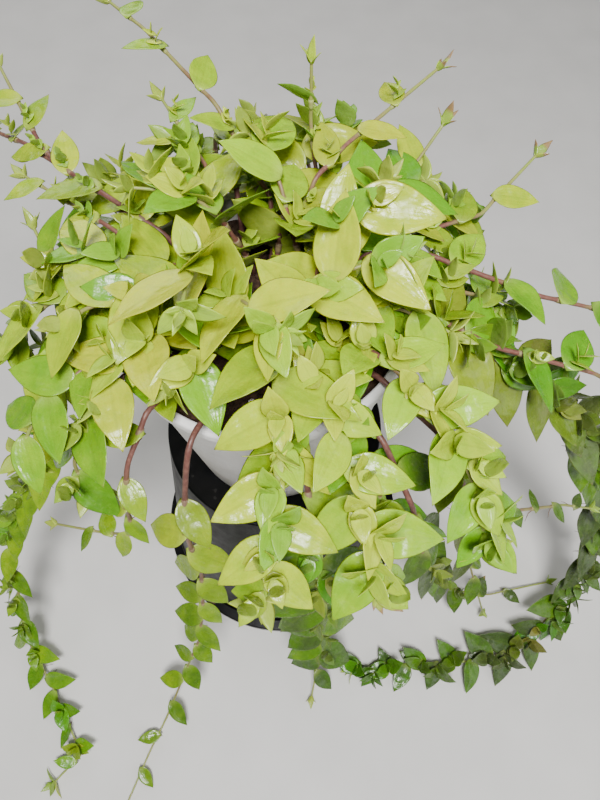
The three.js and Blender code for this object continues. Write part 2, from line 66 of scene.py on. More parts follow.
# The two pots and the soil
STAND_HEIGHT = 212
STAND_TOP_RADIUS = 65
STAND_WALL_FOOT_RADIUS = 94
STAND_RIM_RADIUS = 102
STAND_RIM_HEIGHT = 12
STAND_WALL = 2.5
STAND_RIM_WALL = 3.5
STAND_DRAIN_RADIUS = 10
STAND_BEAD_ABOVE_RIM = 9
STAND_BEAD_HEIGHT = 5
STAND_BEAD_DEPTH = 1.2
STAND_EDGE = 1.3
GAP = 0.3
POT_HEIGHT = 125
POT_RIM_RADIUS = 65
POT_RIM_DEPTH = 6
POT_RIM_LEDGE = 2.2
POT_BASE_RADIUS = 48.5
POT_WALL = 1.8
POT_DRAIN_RADIUS = 6
POT_EDGE = 1.6
SOIL_BELOW_RIM = 12
ROOT_DEPTH = 8
COLLAR_HEIGHT = 5
POT_FOOT_Z = STAND_HEIGHT + GAP
RIM_Z = POT_FOOT_Z + POT_HEIGHT
SOIL_Z = RIM_Z - SOIL_BELOW_RIM
COLLAR_Z = SOIL_Z + COLLAR_HEIGHT

# Stems and leaves as the source grows them
FULL_RINGS = 2
RING_BEND = 15
RING_SPACING = 60
LEAF_SUNK = 1
LEAF_ASPECT = 0.61
LEAF_WIDEST = 0.35
LEAF_BASE_POWER = 0.6
LEAF_TIP_POWER = 1.12
LEAF_CHANNEL = 0.22
LEAF_ARCH = 0.1
LEAF_TURN = 56
LEAF_TURN_STRAY = 9
LEAF_ROLL_STRAY = 14
LEAF_LIFT = 6
LEAF_LIFT_STRAY = 12
LEAF_SIZE_STRAY = 0.12
LEAF_SPACING_STRAY = 0.14
FACE_OUT = 0.5
FACE_UP = 0.87
YOUNG_SIZE = 0.5
YOUNG_STRETCH = 3
RING_TURN_STRAY = 4
RING_SWAY = 0.16
RING_REACH_STRAY = 0.07
RING_RISE_STRAY = 1.5
STEM_TRIES = 20
STEM_TRY_TURN = 1.5
STEM_TRY_RISE = 0.6
LEAF_TRIES = 14
LEAF_TRY_LOOSENS = 0.22
LEAF_TRY_SHRINKS = 0.015
FOUND_WITHIN = 0.15
FOOT_WITHIN = 0.01

# Fine leaves. What bends a blade is a share of its length
LEAF_THICKNESS = 0.6
LEAF_ROWS = 14
LEAF_COLUMNS = 9
LEAF_WAVE = 0.012
LEAF_RIPPLES = (9, 8)
LEAF_CURL = 0.05
LEAF_CURLS_FROM = 0.6
LEAF_SWEEP = 0.035
RIB_SOFTNESS = 1.2
CLASP_BACK = 2.2
CLASP_LIFT = 1.5
LIGHT_ROLL = 45
LIGHT_ROLL_SLOPES = (0.45, 0.8)
DRIED_OFTEN = 0.05
DRIED_SHARE = 0.25
DRIED_BORDER = 0.08

# How what reaches the floor rests on it
FLOOR_GAP = 0.3
FLOOR_SOFT = 1.6

# Fine stems, with the sheath at each joint as (share of its length, how proud of the stem)
STEM_RADIUS = 1.2
STEM_TIP_RADIUS = 0.65
STEM_STEP = 2.5
STEM_SIDES = 10
STEM_UNEVEN = 0.04
NODE_SWELLING = 0.28
NODE_LENGTH = 1.8
STEM_PAST_END = 1.5
SHEATH_LENGTH = 4.2
SHEATH_BELOW_JOINT = 0.75
SHEATH_FOLDED_IN = 0.4
SHEATH_PROFILE = ((0.0, -0.25), (0.3, 0.05), (0.7, 0.14), (1.0, 0.24))

# Growing tips: each leaf's opening in degrees, its length, its foot below the tip and its aspect
BUD_LEAVES = [(8, 10.35, 0.8, 0.42), (22, 9, 0.8, 0.42), (34, 7.65, 0.8, 0.42),
              (46, 6.3, 0.8, 0.42)]
ROSETTE_LEAVES = [(52, 10.35, 2.5, 0.56), (60, 12.15, 2.5, 0.56), (68, 13.5, 2.5, 0.56),
                  (74, 14.4, 2.5, 0.56)]
BUD_SPIRAL = 137
BUD_TONES = (0.85, 1.0)
DRIED_ROSETTE_SHARE = 0.3
DRIED_BUD_SHARE = 0.45
YOUNG_THICKNESS = 0.5

# Tufts of young leaves in the leaf angles: how the side shoot leans, and its leaves in two rows
TUFT_AHEAD = 0.45
TUFT_ASIDE = (0.2, 0.5)
TUFT_TO_LIGHT = (0.7, 1.1)
TUFT_LEAVES = 4
TUFT_FOOT = 2.2
TUFT_STEP = 1.8
TUFT_OPENING = 58
TUFT_CLOSING = 12
TUFT_SHRINKING = 0.14
TUFT_SIZES = (0.75, 1.25)
TUFT_TURN_STRAY = 50
TUFT_ASPECT = 0.64
TUFT_CLASP = 0.3

# Wiry roots from the joints of trailing stems
ROOTS_BELOW = 300
ROOTS_MISSING = 0.35
ROOT_LENGTHS = (4, 11)
ROOT_PARTS = 5
ROOT_RADII = (0.3, 0.12)
ROOT_ABOVE_FLOOR = 0.35
ROOT_BEND = 0.4
ROOT_DROOP = 0.15

# The soil's top, with (width, height, place in the noise) of each size of lump, and its crumbs,
# which are rings of points at some angles in radians from below
SOIL_SUNK = 1.2
SOIL_LUMPS = ((14, 2.2, 0), (4, 1.1, 50), (1.6, 0.5, 90))
SOIL_HEAP = 1.6
SOIL_HEAP_WIDTH = 4
SOIL_SIDES = 150
SOIL_RINGS = 50
SOIL_EDGE_DEPTH = 4
CLODS = 420
CLOD_SEED = 404
CLOD_FIRST_SEED = 500
CLODS_FROM_WALL = 3
CLOD_SIZES = (0.7, 2.0)
CLOD_RAISED = 0.3
PERLITE_EVERY = 14
PERLITE_SIZES = (0.8, 1.6)
CLOD_BANDS = (0.35, 0.8, 1.3, 1.8, 2.3, 2.8)
CLOD_SIDES = 7
CLOD_UNEVEN = 0.28
CLOD_SQUAT = 0.8

# Studio, in metres, degrees and watts: each soft light has its place, its size and its power
CAMERA_PLACE = (0.0156, -0.150, 0.5479)
CAMERA_FROM_DOWN = 26.1
CAMERA_LENS = 27
CAMERA_SENSOR = 36
CAMERA_NEAREST = 0.01
LIGHT_TARGET = (0, 0, 0.3)
LIGHTS = {"key": ((0.05, -0.45, 1.3), 0.3, 23.5), "fill": ((1.0, -0.5, 0.8), 0.9, 5),
          "back": ((-0.5, 1.0, 1.0), 0.9, 6)}
ROOM_BRIGHTNESS = 0.21
FLOOR_HALF = 4.0

# The source's long stems, each with its foot and the places that it passes, and below them the
# rings of stems that make the mound
LONG_STEMS = [
    dict(name="runner_back_left", root=(2, 22), step=22, leaf=19,
         way=[(4, 38, 351), (-7, 55, 367), (-24, 75, 381), (-43, 95, 388), (-68, 122, 389)]),
    dict(name="runner_back_left_short", root=(-15, 23), step=18, leaf=16,
         way=[(-22, 46, 359), (-34, 72, 364), (-46, 88, 367)]),
    dict(name="shoot_back", root=(24, 25), step=18, leaf=14,
         way=[(26, 42, 352), (20, 58, 368), (21, 66, 384), (20, 68, 398)]),
    dict(name="runner_back_right", root=(13, 15), step=19, leaf=18,
         way=[(18, 30, 364), (28, 42, 375), (43, 60, 374), (58, 76, 377), (73, 84, 384)]),
    dict(name="shoot_right_back", root=(33, 22), step=18, leaf=17,
         way=[(52, 42, 345), (62, 50, 354), (70, 56, 366), (75, 62, 375)]),
    dict(name="runner_right_back", root=(36, 13), step=21, leaf=19,
         way=[(62, 22, 353), (90, 34, 350), (105, 48, 352), (120, 64, 357)]),
    dict(name="runner_left_back", root=(-20, 10), step=24, leaf=23,
         way=[(-44, 20, 362), (-72, 38, 364), (-91, 57, 360), (-116, 81, 352), (-134, 101, 341),
              (-175, 128, 305), (-218, 144, 250), (-252, 148, 190)],
         branch=dict(after=3, way=[(-112, 88, 358), (-124, 112, 366)], step=18, leaf=16)),
    dict(name="runner_left", root=(-30, 3), step=19, leaf=19,
         way=[(-50, 13, 357), (-69, 26, 358), (-86, 41, 355), (-107, 57, 352)]),
    dict(name="shoot_left", root=(-41, -7), step=18, leaf=21,
         way=[(-60, -3, 353), (-79, 4, 351), (-90, 12, 347), (-97, 27, 352)]),
    dict(name="runner_right_upper", root=(22, 2), step=24, leaf=25,
         way=[(40, 6, 358), (58, 6, 362), (78, 1, 360), (93, -3, 356), (106, -5, 350),
              (145, -1, 334), (180, 8, 295), (198, 14, 240)]),
    dict(name="runner_right_lower", root=(28, -8), step=24, leaf=26,
         way=[(44, -13, 360), (58, -19, 363), (73, -26, 356), (88, -29, 350), (106, -32, 343),
              (122, -34, 336), (141, -31, 328), (170, -26, 292), (188, -22, 240)]),
    dict(name="vine_right_trailing", root=(40, -18), step=13, leaf=30,
         way=[(60, -24, 355), (88, -27, 342), (114, -29, 320), (138, -24, 290), (170, -22, 236),
              (207, -25, 168), (234, -40, 95), (240, -68, 42), (221, -95, 12), (182, -121, 6),
              (115, -129, 5), (57, -132, 5)]),
    dict(name="vine_right_red", root=(34, -28), step=38, leaf=22,
         way=[(56, -48, 347), (76, -66, 322), (101, -67, 232), (137, -71, 112), (170, -88, 14)],
         branch=dict(after=2, way=[(100, -76, 278), (136, -60, 242), (190, -50, 196)],
                     step=24, leaf=12)),
    dict(name="vine_right_low", root=(21, -31), step=30, bare=10, leaf=22,
         way=[(26, -44, 351), (41, -64, 354), (58, -88, 328), (80, -87, 230), (108, -74, 120),
              (130, -68, 55), (155, -72, 16), (205, -72, 5), (232, -62, 5)]),
    dict(name="vine_front", root=(11, -41), step=24, bare=12, leaf=33,
         way=[(16, -66, 352), (19, -92, 338), (23, -104, 296), (27, -106, 200), (29, -113, 90),
              (30, -128, 22), (25, -152, 7)]),
    dict(name="spray_front_01", root=(4, -30), step=11, bare=58, leaf=23,
         way=[(8, -56, 358), (8, -84, 356), (6, -108, 342), (2, -120, 318)]),
    dict(name="spray_front_02", root=(13, -27), step=11, bare=4, leaf=25,
         way=[(22, -54, 361), (32, -82, 358), (40, -106, 342), (44, -117, 316)]),
    dict(name="spray_front_03", root=(25, -20), step=11, bare=4, leaf=25,
         way=[(42, -40, 362), (62, -64, 360), (78, -86, 346), (85, -98, 320)]),
    dict(name="spray_front_left_01", root=(-9, -15), step=10, bare=6, leaf=28,
         way=[(-14, -31, 357), (-22, -44, 362), (-31, -54, 361)]),
    dict(name="spray_front_left_02", root=(-23, -11), step=10, bare=6, leaf=28,
         way=[(-35, -26, 357), (-47, -42, 360), (-58, -57, 354)]),
    dict(name="vine_front_left", root=(-14, -42), step=25, bare=70, leaf=21,
         way=[(-22, -66, 350), (-29, -88, 335), (-34, -99, 232), (-53, -117, 110),
              (-73, -134, 38), (-90, -165, 7), (-107, -202, 5), (-116, -226, 5)]),
    dict(name="vine_left_trailing", root=(-40, -20), step=15, leaf=25,
         way=[(-54, -25, 353), (-80, -34, 336), (-102, -37, 285), (-125, -40, 235),
              (-158, -42, 180), (-192, -56, 112), (-205, -84, 55), (-207, -110, 20),
              (-195, -132, 7), (-179, -154, 5), (-157, -178, 5), (-158, -202, 5),
              (-174, -212, 5)]),
    dict(name="vine_left_thin", root=(-28, -32), step=22, leaf=16,
         way=[(-42, -58, 346), (-54, -80, 318), (-62, -80, 262), (-84, -72, 222),
              (-128, -60, 198)]),
    dict(name="vine_back_left", root=(-10, 31), step=34, leaf=28,
         way=[(-11, 42, 354), (-15, 64, 361), (-26, 92, 340), (-34, 112, 270), (-40, 130, 180),
              (-46, 150, 90), (-56, 182, 22), (-76, 212, 6), (-102, 224, 5)]),
    dict(name="vine_back_right", root=(9, 36), step=34, leaf=28,
         way=[(7, 64, 361), (16, 94, 342), (30, 112, 262), (44, 126, 165), (56, 142, 80),
              (74, 170, 18), (100, 200, 6), (118, 222, 5)]),
    dict(name="vine_hanging_left", root=(-42, 24), step=25, leaf=27,
         way=[(-54, 32, 351), (-86, 62, 328), (-100, 82, 270), (-108, 92, 205)]),
    dict(name="vine_hanging_right", root=(44, 26), step=26, leaf=27,
         way=[(56, 36, 352), (88, 56, 328), (104, 66, 270), (112, 70, 200), (116, 74, 150)]),
]

MOUND_RINGS = [
    dict(name="mound_low", count=10, turn=10, swirl=0, root_radius=47, seed=15, step=16,
         bare=18, leaf=26, reach=[(59, 9), (80, 5), (96, -12), (102, -40)]),
    dict(name="mound_middle", count=10, turn=30, swirl=0, root_radius=34, seed=2, step=11,
         bare=6, leaf=26, reach=[(48, 14), (70, 17), (92, 10), (108, -8)]),
    dict(name="mound_top", count=7, turn=26, swirl=0, root_radius=16, seed=14, step=12,
         bare=6, leaf=29, reach=[(26, 16), (44, 25), (64, 28), (80, 22)]),
    dict(name="mound_crown", count=6, turn=40, swirl=14, root_radius=24, seed=4, step=11,
         bare=12, leaf=28, reach=[(22, 14), (24, 30), (34, 41), (50, 45)]),
]

# The tables below go by the start of a stem's name, and the first entry that fits counts

# How pale a leaf is by its height, which is painted light on the high leaves and painted shade on
# the low ones, and how much paler the leaves of some stems are, partly their own colour and
# partly painted light and painted shade
TONE_AND_LIGHT_HEIGHTS = [0, 250, 330, 350, 375]
TONES_AND_LIGHT = [0.34, 0.42, 0.55, 0.72, 0.88]
TONE_STRAY = 0.14
PALER_AND_LIT = {"spray_front": 0.22, "mound_top": 0.08, "mound_crown": 0.12, "vine_right": -0.22,
         "vine_front_left": 0.05, "vine_front": -0.12, "vine_hanging": -0.02,
         "mound_low": -0.05, "vine_left": 0.12}

# Side shoots of some stems: how often at a leaf, their leaves' size against it, how young
TUFTS = {"spray_front": (0.7, 0.64, 0.7), "mound": (0.5, 0.58, 0.5),
         "vine_right_trailing": (0.9, 0.66, 0.1), "vine_left_trailing": (0.6, 0.6, 0.2),
         "vine_right_low": (0.5, 0.6, 0.3), "vine_hanging": (0.5, 0.5, 0.3),
         "vine_front_left": (0, 0, 0), "vine_front": (0.4, 0.4, 0.3),
         "runner": (0.6, 0.34, 1.0), "shoot": (0.7, 0.4, 1.0)}
LEAFY_TIPS = ("spray_front", "mound", "vine_right_trailing", "vine_left_trailing")
DRIED_TIPS = ("runner_back_right", "runner_right_back", "shoot_right_back", "spray_front_02")

# Where a stem's kinds of growth start in its run of seeds
FIRST_SEED = 20000
STEM_RUN = 400
BRANCH_RUN = 200
SEEDS = dict(stem=1, leaf=10, sheath=60, bud=120, roots=130, tuft=160)
TUFT_RUN = 5


def random_stream(seed):
    """A repeatable stream of random numbers from 0 to 1, the same as the source's."""
    modulus = 4294967296
    state = (seed * 7919 + 104729) % modulus

    def draw():
        nonlocal state
        state = (state * 1664525 + 1013904223) % modulus
        return state / modulus

    draw()
    draw()
    return draw


def jitter(draw, size):
    """A random amount between minus and plus size."""
    return (draw() * 2 - 1) * size


def between(draw, low, high):
    """A random amount from low to high."""
    return low + (high - low) * draw()


def unit(vector):
    """A vector at length 1, or as it is where it has no length."""
    length = np.linalg.norm(vector)
    return vector / length if length > 0 else vector


def turned_about(vector, axis, angle):
    """A vector turned about a unit axis by an angle in radians."""
    along_axis = axis * np.dot(axis, vector)
    flat = vector - along_axis
    return along_axis + flat * math.cos(angle) + np.cross(axis, vector) * math.sin(angle)


class Route:
    """A smooth curve through a list of places, measured along its length."""

    DIVISIONS = 200
    NUDGE = 0.0001

    def __init__(self, places):
        self.places = [np.array(place, float) for place in places]
        self.marks = np.linspace(0, 1, self.DIVISIONS + 1)
        points = np.array([self.at_mark(mark) for mark in self.marks])
        gaps = np.linalg.norm(np.diff(points, axis=0), axis=1)
        self.lengths = np.concatenate([[0.0], np.cumsum(gaps)])
        self.length = self.lengths[-1]

    def at_mark(self, mark):
        last = len(self.places) - 1
        piece = min(int(last * mark), last - 1)
        weight = last * mark - piece
        start, end = self.places[piece], self.places[piece + 1]
        before = self.places[piece - 1] if piece > 0 else 2 * start - end
        after = self.places[piece + 2] if piece + 2 <= last else 2 * end - start
        leaving = (end - before) * 0.5
        arriving = (after - start) * 0.5
        square = 3 * (end - start) - 2 * leaving - arriving
        cube = 2 * (start - end) + leaving + arriving
        return start + leaving * weight + square * weight**2 + cube * weight**3

    def mark(self, distance):
        return float(np.interp(distance, self.lengths, self.marks))

    def place(self, distance):
        return self.at_mark(self.mark(distance))

    def direction(self, distance):
        mark = self.mark(distance)
        ahead = self.at_mark(min(mark + self.NUDGE, 1))
        return unit(ahead - self.at_mark(max(mark - self.NUDGE, 0)))


def face_direction(place, along):
    """The way that leaves turn their upper face at a place on a stem: up and outwards."""
    outward = unit(np.array([place[0], place[1], 0.0]))
    face = outward * FACE_OUT + UP * FACE_UP
    return unit(face - along * np.dot(face, along))


def grow_stem(places, step, first_leaf, leaf, seed):
    """A stem along its route: rings where it bends, and its leaves' distances between them."""
    route = Route(places)
    draw = random_stream(seed)
    leaves = []
    at = first_leaf
    while at < route.length - step * 0.5:
        leaves.append(at)
        at += step * (1 + jitter(draw, LEAF_SPACING_STRAY))
    distances = [0.0]
    for index, at in enumerate(leaves):
        middle = at * 0.5 if index == 0 else (at + leaves[index - 1]) / 2
        last = distances[-1]
        straight = np.dot(route.direction(last), route.direction(middle))
        bend = math.degrees(math.acos(min(1.0, max(-1.0, straight))))
        if index < FULL_RINGS or bend > RING_BEND or middle - last > RING_SPACING:
            distances.append(middle)
    distances.append(route.length)
    rings = [SimpleNamespace(at=at, place=route.place(at)) for at in distances]
    last_along = route.direction(route.length)
    return SimpleNamespace(rings=rings, leaves=leaves, length=route.length, leaf=leaf,
                           seed=seed, last_along=last_along)


def spray_stems(spray):
    """The stems that make one spray: the main one from the soil and any branch of it."""
    seed = 100 + spray["seed"] * 10
    route = [(*spray["root"], COLLAR_Z), *spray["way"]]
    first_leaf = spray.get("bare", spray["step"])
    main = grow_stem(route, spray["step"], first_leaf, spray["leaf"], seed)
    foot = np.array([*spray["root"], SOIL_Z - ROOT_DEPTH], float)
    main.rings.insert(0, SimpleNamespace(at=-1, place=foot))
    stems = [main]
    branch = spray.get("branch")
    if branch:
        way = [route[branch["after"]], *branch["way"]]
        step = branch["step"]
        stems.append(grow_stem(way, step, step * 0.5, branch["leaf"], seed + 5))
    return stems


def ring_spray(ring, index, attempt):
    """One stem of a ring of the mound on a given try."""
    draw = random_stream(ring["seed"] * 1000 + index * 20 + attempt)
    stray = RING_TURN_STRAY + attempt * STEM_TRY_TURN
    angle = math.radians(ring["turn"] + index * 360 / ring["count"] + jitter(draw, stray))
    sway = jitter(draw, RING_SWAY)
    stretch = 1 + jitter(draw, RING_REACH_STRAY)
    rise = jitter(draw, RING_RISE_STRAY) + attempt * STEM_TRY_RISE
    way = []
    for at, (radius, height) in enumerate(ring["reach"]):
        bend = angle + math.radians(ring["swirl"] * (at + 1)) + sway * at / len(ring["reach"])
        out = radius * (stretch if at else 1)
        way.append((out * math.cos(bend), out * math.sin(bend), RIM_Z + height + rise))
    root = (ring["root_radius"] * math.cos(angle), ring["root_radius"] * math.sin(angle))
    return dict(name=f"{ring['name']}_{index + 1:02d}", root=root, way=way, step=ring["step"],
                bare=ring["bare"], leaf=ring["leaf"], seed=ring["seed"] * 100 + index)


def solid_points(name):
    """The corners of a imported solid, in millimetres."""
    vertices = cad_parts[name].data.vertices
    points = np.empty(len(vertices) * 3)
    vertices.foreach_get("co", points)
    return points.reshape(-1, 3) / MM


def stands_there(points, root):
    """Whether the foot of a solid stem stands at a root."""
    foot = points[np.abs(points[:, 2] - SOIL_Z + ROOT_DEPTH) < FOOT_WITHIN]
    middle = (foot.min(axis=0) + foot.max(axis=0)) / 2
    return math.dist(middle[:2], root) < FOUND_WITHIN


def all_sprays():
    """Every spray in the frame, with the try that each of the mound's took."""
    sprays = [dict(spray, seed=seed) for seed, spray in enumerate(LONG_STEMS)]
    for ring in MOUND_RINGS:
        for index in range(ring["count"]):
            name = f"{ring['name']}_{index + 1:02d}"
            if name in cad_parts:
                points = solid_points(name)
                tries = [ring_spray(ring, index, attempt) for attempt in range(STEM_TRIES)]
                sprays.append(next(t for t in tries if stands_there(points, t["root"])))
    return sprays


def place_on(stem, at):
    """The place at a distance along a stem, with the directions there."""
    ahead = next((i for i, ring in enumerate(stem.rings) if ring.at > at), len(stem.rings) - 1)
    start, end = stem.rings[ahead - 1], stem.rings[ahead]
    root = start.place + (end.place - start.place) * (at - start.at) / (end.at - start.at)
    along = unit(end.place - start.place)
    return root, along, face_direction(root, along)


def leaf_pose(stem, index, attempt):
    """How one leaf sits on its stem on a given try."""
    root, stem_along, face = place_on(stem, stem.leaves[index])
    draw = random_stream(stem.seed * 977 + index * 31 + attempt * 7)
    loose = 1 + attempt * LEAF_TRY_LOOSENS
    turn = math.radians(LEAF_TURN + jitter(draw, LEAF_TURN_STRAY * loose))
    roll = math.radians(jitter(draw, LEAF_ROLL_STRAY * loose))
    lift = math.radians(LEAF_LIFT + jitter(draw, LEAF_LIFT_STRAY * loose))
    scale = 1 + jitter(draw, LEAF_SIZE_STRAY) - LEAF_TRY_SHRINKS * attempt
    from_tip = 1 - stem.leaves[index] / stem.length
    youth = min(1, from_tip * YOUNG_STRETCH + YOUNG_SIZE)
    side = 1 if index % 2 == 0 else -1
    across = np.cross(face, stem_along)
    flat = stem_along * math.cos(turn) + across * side * math.sin(turn)
    along = unit(flat * math.cos(lift) + face * math.sin(lift))
    upper = unit(face - along * np.dot(face, along))
    return SimpleNamespace(root=root, along=along, upper=turned_about(upper, along, roll),
                           length=stem.leaf * scale * youth)


def turned_to_light(pose, stem_along):
    """A leaf rolled about its rib towards the light above, the more so the steeper its stem."""
    steep = float(np.interp(abs(stem_along[2]), LIGHT_ROLL_SLOPES, (0, 1)))
    wanted = unit(UP - pose.along * np.dot(pose.along, UP))
    sine = np.dot(np.cross(pose.upper, wanted), pose.along)
    angle = math.atan2(sine, np.dot(pose.upper, wanted))
    most = math.radians(LIGHT_ROLL) * steep
    pose.upper = turned_about(pose.upper, pose.along, min(most, max(-most, angle)))
    return pose


def grown_leaves(stem, points):
    """The leaves that a stem's solid has: (index, pose) for each."""
    found = []
    for index in range(len(stem.leaves)):
        for attempt in range(LEAF_TRIES):
            pose = leaf_pose(stem, index, attempt)
            tip = pose.root + (pose.along - pose.upper * LEAF_ARCH) * pose.length
            if np.min(np.linalg.norm(points - tip, axis=1)) < FOUND_WITHIN:
                stem_along = place_on(stem, stem.leaves[index])[1]
                found.append((index, turned_to_light(pose, stem_along)))
                break
    return found


def add_piece(name, points, faces, materials, nodes):
    """A smooth piece of the object in place of its solids, and its mesh."""
    mesh = bpy.data.meshes.new(name)
    mesh.from_pydata(points, [], faces)
    for material in materials:
        mesh.materials.append(material)
    mesh.polygons.foreach_set("use_smooth", [True] * len(faces))
    piece = bpy.data.objects.new(name, mesh)
    bpy.context.scene.collection.objects.link(piece)
    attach(piece, "root")
    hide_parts(*nodes)
    return mesh


class Skin:
    """A mesh in the making: closed tubes of points, each point with numbers for its material."""

    MARKS = ("tone", "fresh", "young", "along", "across", "under", "age")

    def __init__(self):
        self.points = []
        self.faces = []
        self.finishes = []
        self.marks = {name: [] for name in self.MARKS}
        self.count = 0

    def add_points(self, points, marks):
        points = np.reshape(points, (-1, 3))
        self.points.append(points)
        for name in self.MARKS:
            values = np.broadcast_to(marks.get(name, 0.0), (len(points),))
            self.marks[name].append(values)
        first = self.count
        self.count += len(points)
        return first

    def add_tube(self, loops, start, end, finish=0, **marks):
        """A closed skin through loops of points, drawn together at start and at end."""
        loops = np.array(loops)
        rows, columns = loops.shape[:2]
        flat = {k: np.broadcast_to(v, (rows, columns)).ravel() for k, v in marks.items()}
        first = self.add_points(loops, flat)
        ends = {k: np.array([v[:columns].mean(), v[-columns:].mean()]) for k, v in flat.items()}
        foot = self.add_points([start, end], ends)
        faces = []
        for row in range(rows - 1):
            for column in range(columns):
                a = first + row * columns + column
                b = first + row * columns + (column + 1) % columns
                faces.append((a, b, b + columns, a + columns))
        last = first + (rows - 1) * columns
        for column in range(columns):
            beside = (column + 1) % columns
            faces.append((first + beside, first + column, foot))
            faces.append((last + column, last + beside, foot + 1))
        self.faces.extend(faces)
        self.finishes.extend([finish] * len(faces))

    def build(self, name, materials, slot, *nodes):
        """The mesh as a piece of the object, kept inside the solids' own box. What would dip
        into the floor rests on it."""
        points = np.concatenate(self.points)
        height = points[:, 2]
        resting = FLOOR_GAP + FLOOR_SOFT * np.exp((height - FLOOR_GAP) / FLOOR_SOFT - 1)
        points[:, 2] = np.where(height < FLOOR_GAP + FLOOR_SOFT, resting, height)
        points = np.clip(points * MM, np.array(cad_low), np.array(cad_high))
        mesh = add_piece(name, points.tolist(), self.faces, materials, nodes)
        mesh.polygons.foreach_set("material_index", self.finishes)
        for mark, values in self.marks.items():
            layer = mesh.attributes.new(mark, "FLOAT", "POINT")
            layer.data.foreach_set("value", np.concatenate(values).astype(np.float32))
        mesh.update()


def leaf_width(share):
    """The half width of a leaf along its length, as a share of the widest."""
    most = LEAF_WIDEST**LEAF_BASE_POWER * (1 - LEAF_WIDEST) ** LEAF_TIP_POWER
    return np.power(share, LEAF_BASE_POWER) * np.power(1 - share, LEAF_TIP_POWER) / most


def add_leaf(skin, pose, seed, tone, dried=0.0, aspect=LEAF_ASPECT, thickness=LEAF_THICKNESS,
             rows=LEAF_ROWS, columns=LEAF_COLUMNS, clasp=1.0, young=0.0):
    """A leaf blade: channelled along its rib, arched, with a faintly waved edge, a base that
    wraps over the stem, and dried to brown over some share of it from the tip."""
    draw = random_stream(seed)
    wave = [draw() * 2 * math.pi for _ in range(2)]
    wave_size = LEAF_WAVE * pose.length * between(draw, 0.5, 1.5)
    curl = LEAF_CURL * pose.length * draw()
    sweep = jitter(draw, LEAF_SWEEP) * pose.length

    # Rows lie closer towards both ends, and lanes closer towards both edges
    steps = np.linspace(0, 1, rows + 2)[1:-1]
    shares = (steps + (1 - np.cos(math.pi * steps)) / 2) / 2
    rim = np.sin(np.linspace(-math.pi / 2, math.pi / 2, columns))
    lanes = np.concatenate([rim, rim[-2:0:-1]])
    sides = np.concatenate([np.ones(columns), -np.ones(columns - 2)])
    sides[0] = sides[columns - 1] = 0
    share, lane = np.meshgrid(shares, lanes, indexing="ij")
    side = np.broadcast_to(sides, share.shape)

    sideways = lane * pose.length * aspect / 2 * leaf_width(share)
    wrap = clasp * (1 - share) ** 3
    ahead = share * pose.length - CLASP_BACK * wrap
    channel = LEAF_CHANNEL * (np.sqrt(sideways**2 + RIB_SOFTNESS**2) - RIB_SOFTNESS)
    ripple = np.where(lane > 0, np.sin(LEAF_RIPPLES[0] * share + wave[0]),
                      np.sin(LEAF_RIPPLES[1] * share + wave[1]))
    waved = wave_size * lane**2 * ripple * np.sin(math.pi * share)
    curled = np.clip((share - LEAF_CURLS_FROM) / (1 - LEAF_CURLS_FROM), 0, 1) ** 2
    droop = LEAF_ARCH * pose.length * share**2 + curl * curled
    thick = side * thickness / 2 * (1 - 0.5 * lane**2) * np.sqrt(np.clip(1 - share**6, 0.1, 1))
    across = np.cross(pose.upper, pose.along)
    loops = (pose.root + pose.along * ahead[..., None]
             + across * (sideways + sweep * share**2)[..., None]
             + pose.upper * (channel + waved - droop + thick + CLASP_LIFT * wrap)[..., None])
    start = (pose.root - pose.along * (LEAF_SUNK + CLASP_BACK * clasp)
             + pose.upper * CLASP_LIFT * 0.6 * clasp)
    tip_drop = LEAF_ARCH * pose.length + curl
    end = pose.root + pose.along * pose.length - pose.upper * tip_drop + across * sweep
    dry_from = 1 - dried * (1 + DRIED_BORDER)
    dry = np.clip((share - dry_from) / DRIED_BORDER, 0, 1)
    skin.add_tube(loops, start, end, 0, tone=tone, fresh=draw(), young=young, along=share,
                  across=lane, under=(side < 0).astype(float), age=dry)


def circle_loops(places, radii, sides):
    """Loops of points round a line of places, without twist."""
    places = np.array(places)
    ahead = np.gradient(places, axis=0)
    loops = []
    spoke = None
    for place, radius, direction in zip(places, radii, ahead):
        along = unit(direction)
        if spoke is None:
            spoke = np.cross(along, UP if abs(along[2]) < 0.9 else np.array([1.0, 0.0, 0.0]))
        spoke = unit(spoke - along * np.dot(spoke, along))
        other = np.cross(along, spoke)
        angles = np.arange(sides) * 2 * math.pi / sides
        ring = np.outer(np.cos(angles), spoke) + np.outer(np.sin(angles), other)
        loops.append(place + ring * radius)
    return loops


def stem_line(stem):
    """Places along a stem, close together, that pass its rings and the roots of its leaves."""
    stops = [(ring.at, ring.place) for ring in stem.rings if ring.at >= 0]
    stops += [(at, place_on(stem, at)[0]) for at in stem.leaves]
    stops.sort(key=lambda stop: stop[0])
    kept = [stops[0]]
    for stop in stops[1:]:
        if stop[0] - kept[-1][0] > STEM_STEP:
            kept.append(stop)
    route = Route([place for _, place in kept])
    count = max(6, round(route.length / STEM_STEP))
    return route, np.linspace(0, route.length, count)


def add_stem(skin, stem, seed):
    """A round stem that swells at each leaf and thins towards its tip."""
    route, distances = stem_line(stem)
    draw = random_stream(seed)
    share = distances / route.length
    radii = STEM_RADIUS + (STEM_TIP_RADIUS - STEM_RADIUS) * share
    for at in stem.leaves:
        nearness = (distances - at * route.length / stem.length) / NODE_LENGTH
        radii = radii * (1 + NODE_SWELLING * np.exp(-nearness**2))
    radii = radii * (1 + np.array([jitter(draw, STEM_UNEVEN) for _ in distances]))
    places = [route.place(at) for at in distances]
    if stem.rings[0].at < 0:
        places.insert(0, stem.rings[0].place)
        radii = np.concatenate([[radii[0]], radii])
        share = np.concatenate([[0.0], share])
    loops = circle_loops(places, radii, STEM_SIDES)
    end = places[-1] + stem.last_along * STEM_PAST_END
    skin.add_tube(loops, places[0], end, 1, age=(1 - share)[:, None], along=share[:, None])


